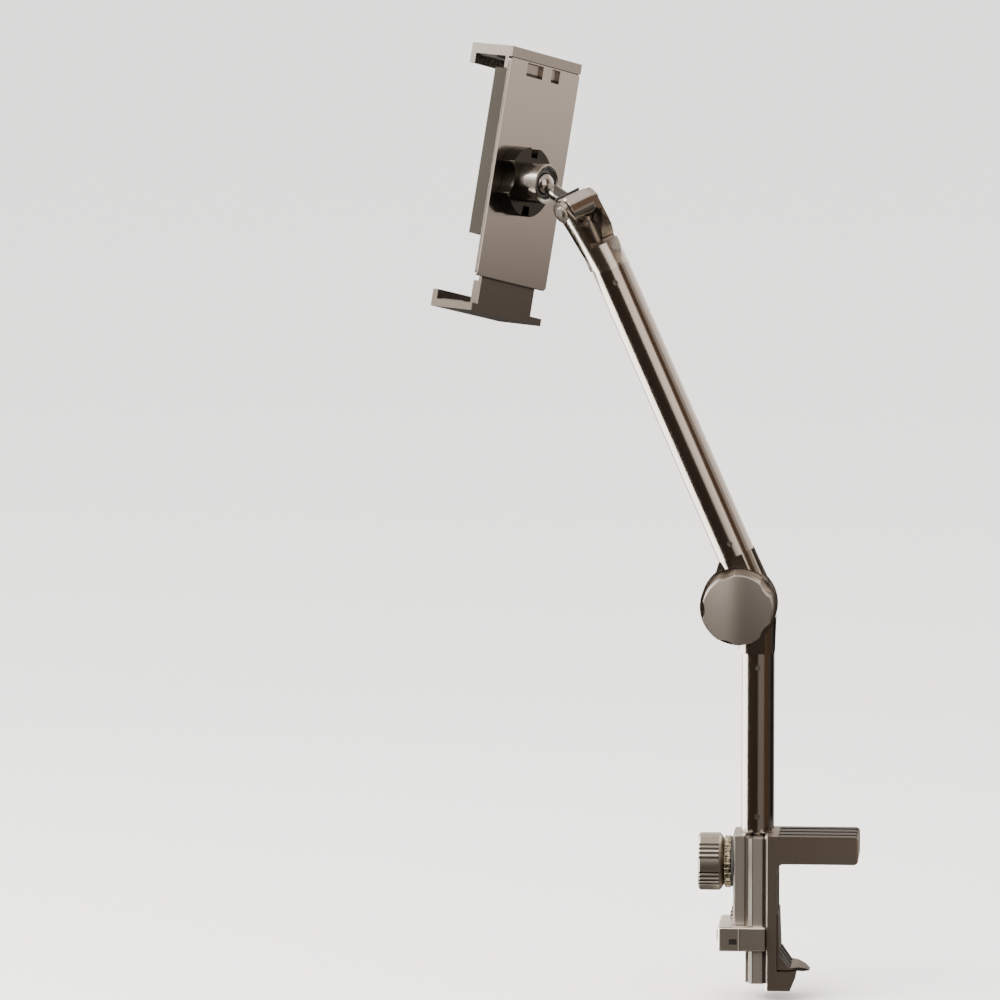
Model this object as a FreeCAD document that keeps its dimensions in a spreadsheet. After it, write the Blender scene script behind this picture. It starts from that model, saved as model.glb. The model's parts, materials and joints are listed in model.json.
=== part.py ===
import FreeCAD, Part
import math
import os
import re
import Sketcher

# Clamp-on tablet arm: table clamp, two arm tubes with an elbow, a tilting knuckle, a ball head and a holder.
# The origin is the centre of the upper jaw's seat. +X is the way the jaws reach, +Z is up. Lengths are in mm.

doc = FreeCAD.newDocument("tablet_arm")
sheet = doc.addObject("Spreadsheet::Sheet", "sizes")

# Driving sizes, each written once. An angle is in degrees.
CLAMP_SIZES = {
    "jaw_length": 58,
    "jaw_depth": 48,
    "jaw_thickness": 20,
    "jaw_corner": 3,
    "groove_width": 4.6,
    "groove_deep": 2.2,
    "groove_spacing": 14,
    "pad_thickness": 1.6,
    "pad_proud": 0.5,
    "pad_margin": 4,
    "web_thickness": 8.5,
    "web_drop": 91.5,
    "mouth_fillet": 5,
    "front_bevel": 1.6,
    "lug_reach": 13.5,
    "lug_height": 14,
    "lug_slope": 4,
    "slot_width": 20,
    "slot_top": 10,
    "screw_setback": 6.3,
    "column_width": 11.8,
    "column_core": 14.2,
    "core_depth": 34,
    "column_top": 18.7,
    "column_drop": 86.4,
    "column_floor": 4,
    "gear_room": 22,
    "gear_room_top": 6.5,
    "gear_room_drop": 11,
    "rail_thickness": 9,
    "rail_depth": 40,
    "rail_drop": 44.7,
    "rail_corner": 2.5,
    "band_top": 45,
    "band_height": 17.5,
    "band_wall": 3.2,
    "band_tail": 10.6,
    "band_corner": 3,
    "latch_width": 9,
    "latch_height": 7,
    "latch_proud": 1.4,
    "latch_depth": 5,
    "edge_break": 0.7,
    "column_corner": 2,
    "column_bevel": 2.5,
    "lug_break": 0.7,
    "groove_end": 0.4,
    "cover_screw_rise": 6,
    "cover_screw_spacing": 20,
    "cover_screw_radius": 3.2,
    "cover_key_radius": 1.6,
    "cover_screw_head": 2,
}
DRIVE_SIZES = {
    "knob_drop": 1.5,
    "knob_diameter": 41.4,
    "knob_width": 18.6,
    "knob_rim": 2.2,
    "rib_groove_radius": 1.1,
    "rib_count": 4,
    "rib_step": 9.4,
    "rib_groups": 6,
    "lock_ring_diameter": 37.4,
    "lock_ring_width": 4.8,
    "washer_diameter": 36,
    "washer_width": 1.4,
    "shaft_diameter": 8,
    "running_gap": 0.05,
    "bush_wall": 1.5,
    "body_gap": 0.3,
    "screw_diameter": 8,
    "bevel_pitch_radius": 5,
    "bevel_face": 2.4,
    "bevel_hub": 1.6,
    "bevel_teeth": 12,
    "tooth_rise": 0.6,
    "tooth_drop": 0.75,
    "tooth_share": 0.4,
    "tooth_slope": 0.45,
    "spigot_radius": 2.2,
    "spigot_length": 2.5,
    "nut_wall": 1.9,
    "track_wall": 1.4,
    "carriage_height": 18,
    "carriage_rest": 76,
    "foot_step": 1,
    "foot_skin": 1,
    "knob_edge": 1.5,
    "recess_margin": 3,
    "knob_recess": 1,
    "rim_slope": 1.6,
    "rib_groove_out": 0.3,
    "spindle_head_radius": 6.6,
    "spindle_head_inset": 0.2,
    "spindle_key_radius": 2,
    "spindle_key_depth": 5,
    "tooth_root": 0.3,
    "ring_edge": 0.6,
    "notch_radius": 1,
    "notch_out": 0.2,
    "ring_notches": 30,
}
JAW_SIZES = {
    "shoe_thickness": 1.6,
    "shoe_top": 36,
    "ramp_top": 65.5,
    "ramp_bottom": 75.4,
    "ramp_reach": 7,
    "tongue_reach": 23,
    "tongue_drop": 4,
    "tongue_tip_width": 12,
    "rib_height": 1.2,
    "rib_width": 5,
    "rib_spacing": 14,
    "ramp_foot": 1.2,
    "shoe_edge": 0.6,
    "shoe_inset": 2,
    "beak_step": 3,
    "beak_taper": 4,
    "beak_root": 0.6,
    "beak_bend": 6,
    "beak_rise": 0.2,
    "beak_fall": 1.6,
    "beak_tip": 0.4,
    "beak_under": 5,
    "beak_heel": 1,
    "beak_room": 10,
    "carriage_bite": 0.5,
    "rib_low_share": 0.4,
    "rib_top_share": 0.5,
    "rib_crown_share": 1.4,
}
ARM_SIZES = {
    "flange_diameter": 22,
    "flange_height": 2,
    "post_diameter": 10,
    "post_depth": 11,
    "seat_gap": 0.3,
    "lower_tube_diameter": 23.5,
    "upper_tube_diameter": 26.8,
    "tube_wall": 1.6,
    "plug_length": 18,
    "elbow_height": 184.5,
    "elbow_offset": 14,
    "upper_offset": 12.6,
    "fitting_reach": 34,
    "housing_diameter": 55,
    "cheek_thickness": 5.2,
    "tongue_thickness": 13.6,
    "friction_washer": 0.8,
    "bolt_diameter": 10,
    "elbow_knob_diameter": 50.6,
    "elbow_knob_width": 18,
    "scallop_count": 5,
    "scallop_radius": 14,
    "scallop_deep": 2.2,
    "insert_wall": 2.5,
    "insert_length": 11,
    "rear_cap_diameter": 26,
    "rear_cap_height": 4,
    "arm_lean": 23.7,
    "upper_length": 258,
    "set_screw_diameter": 4,
    "set_screw_inset": 10,
    "screw_proud": 0.2,
    "flare_inset": 0.4,
    "flare_reach": 8,
    "flare_foot": 2,
    "flare_wide": 2.4,
    "slot_clear": 0.2,
    "bolt_short": 1,
    "bolt_head_radius": 8.5,
    "bolt_head_height": 2.4,
    "crown_height": 1,
    "crown_inset": 1.4,
    "drum_bevel": 2.2,
    "drum_edge": 0.9,
    "neck_inset": 0.9,
    "shoulder_wide": 0.6,
    "tongue_inset": 1,
}
HEAD_SIZES = {
    "fork_reach": 50.8,
    "hinge_shift": 6,
    "fork_twist": 38,
    "knuckle_tilt": 50.5,
    "knuckle_width": 20,
    "knuckle_thickness": 11,
    "knuckle_rise": 8,
    "fork_gap": 0.3,
    "left_wall": 3,
    "right_wall": 6,
    "wall_half": 8,
    "fork_floor": 32,
    "stub_length": 3,
    "fork_top_radius": 16.3,
    "fork_top_shift": 2.2,
    "fork_top_back": 1.5,
    "strap_lean": 3.8,
    "strap_bend": 9,
    "rear_wall": 3.5,
    "rear_wall_face": 5.5,
    "rear_wall_top": 10,
    "rear_wall_left": 6,
    "facet_height": 28.7,
    "tension_screw_drop": 14.9,
    "tension_screw_shift": 5.3,
    "end_plate": 0.9,
    "end_plate_rim": 1,
    "hinge_pin_diameter": 6,
    "pin_head_diameter": 9,
    "pin_head_height": 2.6,
    "ball_reach": 35.8,
    "ball_radius": 8.5,
    "neck_radius": 4.2,
    "stem_radius": 5.3,
    "pin_key_floor": 1,
    "pin_foot_radius": 3.9,
    "pin_foot_height": 1.4,
    "trim_shift": 10.4,
    "trim_back": 7,
    "trim_radius": 2,
    "trim_drop": 8,
    "stem_step": 1,
    "stem_seat": 2,
    "neck_length": 5,
    "neck_taper": 1.5,
    "neck_bite": 3,
    "strap_widen": 5,
    "strap_turn": 10,
    "foot_widen": 9,
    "wall_widen": 1.5,
    "wall_foot": 4,
    "facet_step": 2,
    "strap_heel": 8,
    "strap_waist": 6,
    "strap_neck": 4,
    "upper_facet_back": 1,
    "upper_facet_turn": 220.4,
    "upper_facet_rise": -11,
    "lower_facet_front": 2,
    "lower_facet_turn": 214.9,
    "lower_facet_rise": 35,
    "facet_lap": 2.5,
    "past": 1,
    "all_across": 30,
}
HOLDER_SIZES = {
    "holder_yaw": 56.18,
    "holder_pitch": 13.0,
    "holder_roll": 91.47,
    "ball_height": 22,
    "plate_shift_x": 11.7,
    "plate_shift_y": 6.6,
    "plate_width": 83,
    "plate_height": 158.5,
    "plate_thickness": 2.5,
    "plate_corner": 3,
    "window_left": 20,
    "window_wide": 19,
    "window_gap": 10.3,
    "window_narrow": 9.7,
    "window_height": 9.5,
    "window_edge": 1.5,
    "case_width": 76,
    "case_height": 120,
    "case_depth": 13.5,
    "case_wall": 2,
    "case_top_inset": 8.5,
    "jaw_bar": 7.5,
    "bottom_bar": 5.4,
    "holder_jaw_reach": 37,
    "jaw_lip": 4.5,
    "lip_rise": 7,
    "jaw_open": 20,
    "slide_width": 31,
    "slide_thickness": 2.6,
    "slide_length": 100,
    "block_width": 63,
    "block_depth": 7,
    "grip_pad": 1,
    "cap_radius": 14.3,
    "cap_top": 4.6,
    "boss_radius": 12,
    "boss_top": 6,
    "lobe_radius": 25.2,
    "lobe_height": 11,
    "lobe_core": 17.5,
    "lobe_slot": 7,
    "lobe_slots": 2,
    "side_scallop_radius": 18,
    "side_scallop_floor": 18.5,
    "side_scallops": 2,
    "seat_wall": 1.6,
    "shell_gap": 0.3,
    "shell_wall": 1.2,
    "lip_height": 3.4,
    "seat_lip": 2,
    "mouth_inner": 3.4,
    "mouth_outer": 1.4,
    "mouth_past": 0.01,
    "ring_lip": 1,
    "lobe_corner": 1.8,
    "plate_edge": 0.6,
    "leg_depth": 3,
    "jaw_end_wall": 3,
    "jaw_floor": 2.4,
    "jaw_skin": 2,
    "jaw_front_wall": 8,
    "block_rise": 6,
    "relief_reach": 17,
    "relief_low": 3,
    "relief_high": 4,
    "grip_pad_inset": 4,
}

row = 0
for group in (CLAMP_SIZES, DRIVE_SIZES, JAW_SIZES, ARM_SIZES, HEAD_SIZES, HOLDER_SIZES):
    for alias, number in group.items():
        row += 1
        sheet.set("A%d" % row, alias)
        sheet.set("B%d" % row, str(number))
        sheet.setAlias("B%d" % row, alias)
doc.recompute()


def mm(alias):
    """The number that the sheet holds under this alias."""
    return float(sheet.get(alias))


pieces = []


def formula(text):
    """Turn a formula in size names into one that reads them from the sheet."""
    return re.sub(r"\b([a-z]\w*)\b(?!\()", r"sizes.\1", text)


def bind(thing, **formulas):
    for key, text in formulas.items():
        thing.setExpression(key, formula(text))


def place(thing, x, y, z):
    for axis, text in (("x", x), ("y", y), ("z", z)):
        thing.setExpression("Placement.Base." + axis, formula(text))


def block(name, x, y, z):
    """A box between two formulas along each axis."""
    box = doc.addObject("Part::Box", name)
    for key, (low, high) in (("Length", x), ("Width", y), ("Height", z)):
        box.setExpression(key, formula("( %s ) - ( %s )" % (high, low)))
    place(box, x[0], y[0], z[0])
    return box


TURNS = {
    "x": FreeCAD.Rotation(FreeCAD.Vector(0, 1, 0), 90),
    "y": FreeCAD.Rotation(FreeCAD.Vector(1, 0, 0), -90),
    "z": FreeCAD.Rotation(),
}


def lay(thing, axis, start, across):
    """Stand a turned primitive along an axis, from start, with its centre line across the other two."""
    thing.Placement = FreeCAD.Placement(FreeCAD.Vector(), TURNS[axis])
    spots = list(across)
    spots.insert("xyz".index(axis), start)
    place(thing, *spots)
    return thing


def rod(name, axis, radius, span, across=("0", "0")):
    """A cylinder along an axis over a span of two formulas."""
    bar = doc.addObject("Part::Cylinder", name)
    bind(bar, Radius=radius, Height="( %s ) - ( %s )" % (span[1], span[0]))
    return lay(bar, axis, span[0], across)


def cone(name, axis, radii, span, across=("0", "0")):
    """A cone along an axis over a span, from the first radius to the second."""
    frustum = doc.addObject("Part::Cone", name)
    bind(frustum, Radius1=radii[0], Radius2=radii[1], Height="( %s ) - ( %s )" % (span[1], span[0]))
    return lay(frustum, axis, span[0], across)


def ball(name, radius):
    sphere = doc.addObject("Part::Sphere", name)
    bind(sphere, Radius=radius)
    return sphere


def join(name, *solids):
    fused = doc.addObject("Part::MultiFuse", name)
    fused.Shapes = list(solids)
    fused.Refine = True
    return fused


def cut(name, base, *tools):
    """Take tools away from a base. Several tools are joined first."""
    trimmed = doc.addObject("Part::Cut", name)
    trimmed.Base = base
    trimmed.Tool = tools[0] if len(tools) == 1 else join(name + "_tools", *tools)
    trimmed.Refine = True
    return trimmed


def meet(name, one, other):
    shared = doc.addObject("Part::Common", name)
    shared.Base = one
    shared.Tool = other
    return shared


def edges_where(shape, test):
    """Names of the edges whose middle point and direction pass a test."""
    names = []
    for index, edge in enumerate(shape.Edges, 1):
        middle = edge.valueAt((edge.FirstParameter + edge.LastParameter) / 2)
        way = edge.tangentAt((edge.FirstParameter + edge.LastParameter) / 2)
        if test(middle, way):
            names.append("Edge%d" % index)
    return names


def origin_part(body, role):
    return [part for part in body.Origin.OriginFeatures if part.Role == role][0]


def new_body(name):
    return doc.addObject("PartDesign::Body", name)


def new_sketch(body, name, role, lift=None):
    """An empty sketch on an origin plane, lifted along the plane's normal by a formula."""
    sketch = body.newObject("Sketcher::SketchObject", name)
    sketch.AttachmentSupport = [(origin_part(body, role), "")]
    sketch.MapMode = "FlatFace"
    if lift:
        sketch.setExpression(".AttachmentOffset.Base.z", formula(lift))
    return sketch


def outline(body, name, role, points, lift=None):
    """A closed sketch of straight sides whose corners are pairs of formulas."""
    sketch = new_sketch(body, name, role, lift)
    count = len(points)
    start = []
    for k in range(count):
        turn = 2 * math.pi * (k + 0.5) / count
        start.append(FreeCAD.Vector(10 * math.cos(turn), 10 * math.sin(turn), 0))
    for k in range(count):
        sketch.addGeometry(Part.LineSegment(start[k], start[(k + 1) % count]), False)
    for k in range(count):
        sketch.addConstraint(Sketcher.Constraint("Coincident", k, 2, (k + 1) % count, 1))
    for k, corner in enumerate(points):
        for kind, text, value in zip(("DistanceX", "DistanceY"), corner, start[k]):
            at = sketch.addConstraint(Sketcher.Constraint(kind, -1, 1, k, 1, value))
            sketch.setExpression("Constraints[%d]" % at, formula(text))
    return sketch


def circle(body, name, role, radius, centre=("0", "0"), lift=None):
    """A sketch of one circle with its radius and centre as formulas."""
    sketch = new_sketch(body, name, role, lift)
    ring = sketch.addGeometry(Part.Circle(FreeCAD.Vector(1, 1, 0), FreeCAD.Vector(0, 0, 1), 1), False)
    at = sketch.addConstraint(Sketcher.Constraint("Radius", ring, 1))
    sketch.setExpression("Constraints[%d]" % at, formula(radius))
    for kind, text in zip(("DistanceX", "DistanceY"), centre):
        at = sketch.addConstraint(Sketcher.Constraint(kind, -1, 1, ring, 3, 1))
        sketch.setExpression("Constraints[%d]" % at, formula(text))
    return sketch


def pad(body, sketch, length, both_ways=False, back=False):
    feature = body.newObject("PartDesign::Pad", sketch.Name + "_pad")
    feature.Profile = sketch
    feature.setExpression("Length", formula(length))
    feature.SideType = "Symmetric" if both_ways else "One side"
    feature.Reversed = back
    doc.recompute()
    return feature


def pocket(body, sketch, length, both_ways=False, back=False):
    """A pocket that has to take something away."""
    before = body.Shape.Volume
    feature = body.newObject("PartDesign::Pocket", sketch.Name + "_pocket")
    feature.Profile = sketch
    feature.setExpression("Length", formula(length))
    feature.SideType = "Symmetric" if both_ways else "One side"
    feature.Reversed = back
    doc.recompute()
    if body.Shape.Volume > before - 1e-6:
        raise ValueError("the pocket %s cuts nothing" % feature.Name)
    return feature


def soften(body, radius, test, kind="Fillet"):
    """Round or chamfer the edges of the body's last feature that pass a test."""
    last = body.Tip
    feature = body.newObject("PartDesign::" + kind, body.Name + "_" + kind.lower() + str(len(body.Group)))
    feature.Base = (last, edges_where(last.Shape, test))
    feature.setExpression("Radius" if kind == "Fillet" else "Size", formula(radius))
    doc.recompute()
    return feature


def revolve(body, name, points, axis="V_Axis", role="XZ_Plane"):
    """A solid of revolution of a straight-sided outline about an axis of its sketch."""
    sketch = outline(body, name, role, points)
    feature = body.newObject("PartDesign::Revolution", name + "_turned")
    feature.Profile = sketch
    feature.ReferenceAxis = (sketch, [axis])
    feature.Angle = 360
    doc.recompute()
    return feature


def repeat_round(body, feature, axis, count):
    """Copies of a feature round an origin axis."""
    pattern = body.newObject("PartDesign::PolarPattern", feature.Name + "_round")
    pattern.Originals = [feature]
    pattern.Axis = (origin_part(body, axis), [""])
    pattern.Angle = 360
    pattern.setExpression("Occurrences", formula(count))
    body.Tip = pattern
    doc.recompute()
    return pattern


def keep(thing, node, frame=None):
    """Name a finished piece after its node and set it in its own frame."""
    thing.Label = node
    if frame:
        thing.Placement = frame
    pieces.append(thing)
    return thing


# Places that several pieces share
WEB_FACE = "(-jaw_length / 2)"
WEB_BACK = "(-jaw_length / 2 - web_thickness)"
JAW_TOP = "(pad_proud + jaw_thickness)"
SCREW_X = "(-jaw_length / 2 - web_thickness - screw_setback)"
CORE_BACK = "(-jaw_length / 2 - web_thickness - column_core)"
RAIL_BACK = "(-jaw_length / 2 - web_thickness - column_core - rail_thickness)"
ELBOW_X = "(-jaw_length / 2 - web_thickness - screw_setback - elbow_offset)"
FLOOR = "(-column_drop + column_floor)"
CARRIAGE_TOP = "(-carriage_rest + carriage_height)"
ACROSS = ("-all_across", "all_across")
COLUMN_BACK = -mm("jaw_length") / 2 - mm("web_thickness") - mm("column_core")


def make_clamp_frame():
    """The C of the clamp: upper jaw, web and lower lug in one, slotted for the carriage, ribbed on top."""
    body = new_body("clamp_frame_body")
    corners = [
        ("-jaw_length / 2", "pad_proud"), ("jaw_length / 2", "pad_proud"), ("jaw_length / 2", JAW_TOP),
        (WEB_BACK, JAW_TOP), (WEB_BACK, "-web_drop"), (WEB_FACE + " + lug_reach - lug_slope", "-web_drop"),
        (WEB_FACE + " + lug_reach", "-web_drop + lug_height * lug_break"),
        (WEB_FACE + " + lug_reach", "-web_drop + lug_height"), (WEB_FACE, "-web_drop + lug_height"),
    ]
    pad(body, outline(body, "c_profile", "XZ_Plane", corners), "jaw_depth", both_ways=True)
    half, corner = mm("jaw_length") / 2, mm("jaw_corner")
    face = -half
    soften(body, "mouth_fillet", lambda p, d: abs(p.x - face) < 0.1 and abs(p.z - mm("pad_proud")) < 0.1)
    soften(body, "jaw_corner", lambda p, d: abs(p.x - half) < 0.1 and abs(d.y) > 0.9)
    back = face - mm("web_thickness")
    soften(body, "front_bevel", lambda p, d: abs(p.x - back) < 0.1 and abs(d.z) > 0.9)
    slot = [
        (WEB_BACK + " - past", "-slot_width / 2"), (WEB_FACE + " + past", "-slot_width / 2"),
        (WEB_FACE + " + past", "slot_width / 2"), (WEB_BACK + " - past", "slot_width / 2"),
    ]
    drop = "web_drop - lug_height - slot_top"
    pocket(body, outline(body, "carriage_slot", "XY_Plane", slot, "-slot_top"), drop)
    for k, side in enumerate((-1, 0, 1)):
        middle = "%d * groove_spacing" % side
        groove = [
            (WEB_FACE + " + past", middle + " - groove_width / 2"), ("jaw_length / 2 + past",
                    middle + " - groove_width / 2"),
            ("jaw_length / 2 + past", middle + " + groove_width / 2"), (WEB_FACE + " + past",
                    middle + " + groove_width / 2"),
        ]
        pocket(body, outline(body, "top_groove_%d" % k, "XY_Plane", groove, JAW_TOP), "groove_deep")
        end = [
            ("jaw_length / 2 - groove_deep", "jaw_thickness * groove_end"), ("jaw_length / 2 + past",
                    "jaw_thickness * groove_end"),
            ("jaw_length / 2 + past", JAW_TOP + " + past"), ("jaw_length / 2 - groove_deep",
                    JAW_TOP + " + past"),
        ]
        wrap = outline(body, "end_groove_%d" % k, "XZ_Plane", end, middle + " - groove_width / 2")
        pocket(body, wrap, "groove_width", back=True)
    seat = [
        (WEB_FACE + " + pad_margin + mouth_fillet", "-jaw_depth / 2 + pad_margin"),
        ("jaw_length / 2 - pad_margin", "-jaw_depth / 2 + pad_margin"),
        ("jaw_length / 2 - pad_margin", "jaw_depth / 2 - pad_margin"),
        (WEB_FACE + " + pad_margin + mouth_fillet", "jaw_depth / 2 - pad_margin"),
    ]
    pocket(body, outline(body, "pad_recess", "XY_Plane", seat, "pad_proud"),
            "pad_thickness - pad_proud", back=True)
    return keep(body, "clamp_frame")


def make_jaw_pad():
    span_x = (WEB_FACE + " + pad_margin + mouth_fillet", "jaw_length / 2 - pad_margin")
    return keep(block("jaw_pad_block", span_x,
            ("-jaw_depth / 2 + pad_margin", "jaw_depth / 2 - pad_margin"),
                      ("0", "pad_thickness")), "upper_jaw_pad")


def make_column():
    """The column behind the web: round-nosed, hollow for the gears, the screw and its nut."""
    body = new_body("column_body")
    nose = "jaw_depth / 2"
    half = "column_width / 2"
    middle = "(-jaw_length / 2 - web_thickness - column_width / 2)"
    shape = [
        (WEB_BACK, "-jaw_depth / 2 + column_corner"), (WEB_BACK,
                nose + " - column_corner"), (WEB_BACK + " - column_corner", nose),
        (middle + " - " + half + " + column_bevel", nose), (middle + " - " + half,
                nose + " - column_bevel"),
        (middle + " - " + half, "core_depth / 2"), (CORE_BACK, "core_depth / 2"),
        (CORE_BACK, "-core_depth / 2"), (middle + " - " + half, "-core_depth / 2"),
        (middle + " - " + half,
                "-jaw_depth / 2 + column_bevel"),
                (middle + " - " + half + " + column_bevel", "-jaw_depth / 2"),
        (WEB_BACK + " - column_corner", "-jaw_depth / 2"),
    ]
    pad(body, outline(body, "column_section", "XY_Plane", shape, "-column_drop"),
            "column_drop + column_top")
    room = [
        (CORE_BACK + " - past", "-gear_room / 2"), (WEB_BACK + " + past", "-gear_room / 2"),
        (WEB_BACK + " + past", "gear_room / 2"), (CORE_BACK + " - past", "gear_room / 2"),
    ]
    deep = "gear_room_top + gear_room_drop"
    pocket(body, outline(body, "gear_room_cut", "XY_Plane", room, "gear_room_top"), deep)
    track = [
        (CORE_BACK + " + track_wall", "-slot_width / 2"), (WEB_BACK + " + past", "-slot_width / 2"),
        (WEB_BACK + " + past", "slot_width / 2"), (CORE_BACK + " + track_wall", "slot_width / 2"),
    ]
    long = "column_drop - column_floor - gear_room_drop + past"
    pocket(body, outline(body, "nut_track", "XY_Plane", track, "-gear_room_drop + past"), long)
    bearing = circle(body, "foot_bearing", "XY_Plane", "screw_diameter / 2 - foot_step + running_gap",
            (SCREW_X, "0"), FLOOR)
    pocket(body, bearing, "column_floor - foot_skin")
    socket = circle(body, "post_socket", "XY_Plane", "post_diameter / 2 + running_gap", (SCREW_X, "0"),
            "column_top")
    pocket(body, socket, "post_depth + body_gap")
    return keep(body, "screw_column")


def make_gear_cover():
    """The plate that closes the gear room at the back and carries the knob's bush."""
    body = new_body("gear_cover_body")
    half = "rail_depth / 2"
    plate = [(RAIL_BACK, "-" + half), (CORE_BACK, "-" + half), (CORE_BACK, half), (RAIL_BACK, half)]
    pad(body, outline(body, "cover_section", "XY_Plane", plate, "-rail_drop"), "rail_drop + " + JAW_TOP)
    back = COLUMN_BACK - mm("rail_thickness")
    soften(body, "rail_corner", lambda p, d: abs(d.z) > 0.9 and abs(p.x - back) < 0.1)
    soften(body, "edge_break", lambda p, d: abs(d.z) < 0.5 and p.x < back + 0.1, "Chamfer")
    hole = rod("bush_hole", "x", "shaft_diameter / 2 + running_gap + bush_wall",
               (RAIL_BACK + " - past", CORE_BACK + " + past"), ("0", "-knob_drop"))
    return keep(cut("gear_cover_cut", body, hole), "gear_cover")


def make_band():
    """The collar that ties the column and the cover together at its lower end."""
    tail = RAIL_BACK + " - band_tail"
    half = "(jaw_depth / 2 + band_wall)"
    body = new_body("band_body")
    plan = [(tail, "-" + half), (WEB_BACK, "-" + half), (WEB_BACK, half), (tail, half)]
    pad(body, outline(body, "band_plan", "XY_Plane", plan, "-band_top - band_height"), "band_height")
    back = COLUMN_BACK - mm("rail_thickness") - mm("band_tail")
    soften(body, "band_corner", lambda p, d: abs(d.z) > 0.9 and abs(p.x - back) < 0.1)
    soften(body, "edge_break", lambda p, d: abs(d.z) < 0.5, "Chamfer")
    column_pass = block("band_column_pass",
            ("-jaw_length / 2 - web_thickness - column_width", WEB_BACK + " + past"),
                        ("-jaw_depth / 2", "jaw_depth / 2"), ("-band_top - band_height - past",
                                "-band_top + past"))
    core_pass = block("band_core_pass", (CORE_BACK, WEB_BACK + " + past"),
            ("-core_depth / 2", "core_depth / 2"),
                      ("-band_top - band_height - past", "-band_top + past"))
    latch = block("latch_recess", (tail + " - past", tail + " + latch_depth"),
            ("-latch_width", "latch_width"),
                  ("-band_top - band_height / 2 - latch_height / 2",
                          "-band_top - band_height / 2 + latch_height / 2"))
    return keep(cut("band_cut", body, column_pass, core_pass, latch), "retaining_band")


def make_band_latch():
    tail = RAIL_BACK + " - band_tail"
    tongue = block("latch_tongue", (tail + " - latch_proud", tail + " + latch_depth"),
            ("-latch_width", "latch_width"),
                   ("-band_top - band_height / 2 - latch_height / 2",
                           "-band_top - band_height / 2 + latch_height / 2"))
    return keep(tongue, "band_latch")


def make_cover_screws():
    """Two socket screws whose heads sit on the cover below the knob."""
    heads = []
    for k, side in enumerate((-1, 1)):
        across = ("%d * cover_screw_spacing / 2" % side, "-rail_drop + cover_screw_rise")
        head = rod("cover_screw_%d" % k, "x", "cover_screw_radius",
                (RAIL_BACK + " - cover_screw_head", RAIL_BACK), across)
        key = rod("cover_key_%d" % k, "x", "cover_key_radius",
                (RAIL_BACK + " - cover_screw_head - past", RAIL_BACK + " - cover_screw_head / 2"),
                across)
        heads.append(cut("cover_screw_cut_%d" % k, head, key))
    return keep(join("cover_screw_pair", *heads), "cover_screws")


make_clamp_frame()
make_jaw_pad()
make_column()
make_gear_cover()
make_band()
make_band_latch()
make_cover_screws()

KNOB_RIGHT = RAIL_BACK + " - washer_width - lock_ring_width - body_gap * 2"
KNOB_AXIS = ("0", "-knob_drop")
SCREW_PLACE = -mm("jaw_length") / 2 - mm("web_thickness") - mm("screw_setback")


def make_knob():
    """The drive knob: a turned drum with groups of grip grooves along it and a bored face."""
    body = new_body("knob_body")
    rim = "knob_diameter / 2"
    points = [
        ("shaft_diameter / 2", "0"), (rim + " - knob_rim * 2", "0"), (rim + " - knob_rim / 2", "knob_rim"),
        (rim, "knob_rim * rim_slope"), (rim, "knob_width - knob_edge"), (rim + " - knob_edge",
                "knob_width"),
        ("shaft_diameter / 2 + recess_margin", "knob_width"), ("shaft_diameter / 2 + recess_margin",
                "knob_width - knob_recess"),
        ("shaft_diameter / 2", "knob_width - knob_recess"),
    ]
    revolve(body, "drum", points)
    for k in range(int(mm("rib_count"))):
        turn = "%d * rib_step + (1 - rib_count) * rib_step / 2" % k
        centre = ("(knob_diameter / 2 + rib_groove_out) * cos(%s)" % turn,
                "(knob_diameter / 2 + rib_groove_out) * sin(%s)" % turn)
        ring = circle(body, "grip_%d" % k, "XY_Plane", "rib_groove_radius", centre, "knob_rim * rim_slope")
        groove = pocket(body, ring, "knob_width", back=True)
        repeat_round(body, groove, "Z_Axis", "rib_groups")
    turned = FreeCAD.Rotation(FreeCAD.Vector(0, 1, 0), -90)
    right = -mm("jaw_length") / 2 - mm("web_thickness") - mm("column_core") - mm("rail_thickness")
    right -= mm("washer_width") + mm("lock_ring_width") + 2 * mm("body_gap")
    return keep(body, "clamp_knob", FreeCAD.Placement(FreeCAD.Vector(right, 0, -mm("knob_drop")), turned))


def make_bevel(node, frame, turn, bored=False):
    """A straight bevel gear whose teeth taper to the frame's origin."""
    body = new_body(node + "_body")
    back = "bevel_pitch_radius"
    front = "(bevel_pitch_radius - bevel_face)"
    blank = [
        ("0", "-%s - bevel_hub" % back), ("%s - tooth_drop" % back, "-%s - bevel_hub" % back),
        ("%s - tooth_drop" % back, "-" + back), ("%s - tooth_drop * %s / %s" % (front, front, back),
                "-" + front),
        ("0", "-" + front),
    ]
    revolve(body, node + "_blank", blank)
    sections = []
    for name, reach in (("_heel", back), ("_toe", front)):
        part = "(%s / bevel_pitch_radius)" % reach
        low = "(bevel_pitch_radius - tooth_drop - tooth_root)"
        high = "(bevel_pitch_radius + tooth_rise)"
        half = "(180 / bevel_teeth * tooth_share * bevel_pitch_radius / 57.3)"
        corners = []
        for radius, side in ((low, "-"), (high, "-"), (high, ""), (low, "")):
            width = "(%s + (bevel_pitch_radius - %s) * tooth_slope)" % (half, radius)
            corners.append((radius + " * " + part, side + width + " * " + part))
        sections.append(outline(body, node + name, "XY_Plane", corners, "-" + reach))
    tooth = body.newObject("PartDesign::AdditiveLoft", node + "_tooth")
    tooth.Profile = sections[0]
    tooth.Sections = sections[1:]
    tooth.Ruled = True
    doc.recompute()
    repeat_round(body, tooth, "Z_Axis", "bevel_teeth")
    if bored:
        seat = circle(body, node + "_seat", "XY_Plane", "spigot_radius",
                lift="-%s - bevel_hub + spigot_length" % back)
        pocket(body, seat, "spigot_length + past")
    return keep(body, node, frame.multiply(FreeCAD.Placement(FreeCAD.Vector(),
            FreeCAD.Rotation(FreeCAD.Vector(0, 0, 1), turn))))


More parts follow.
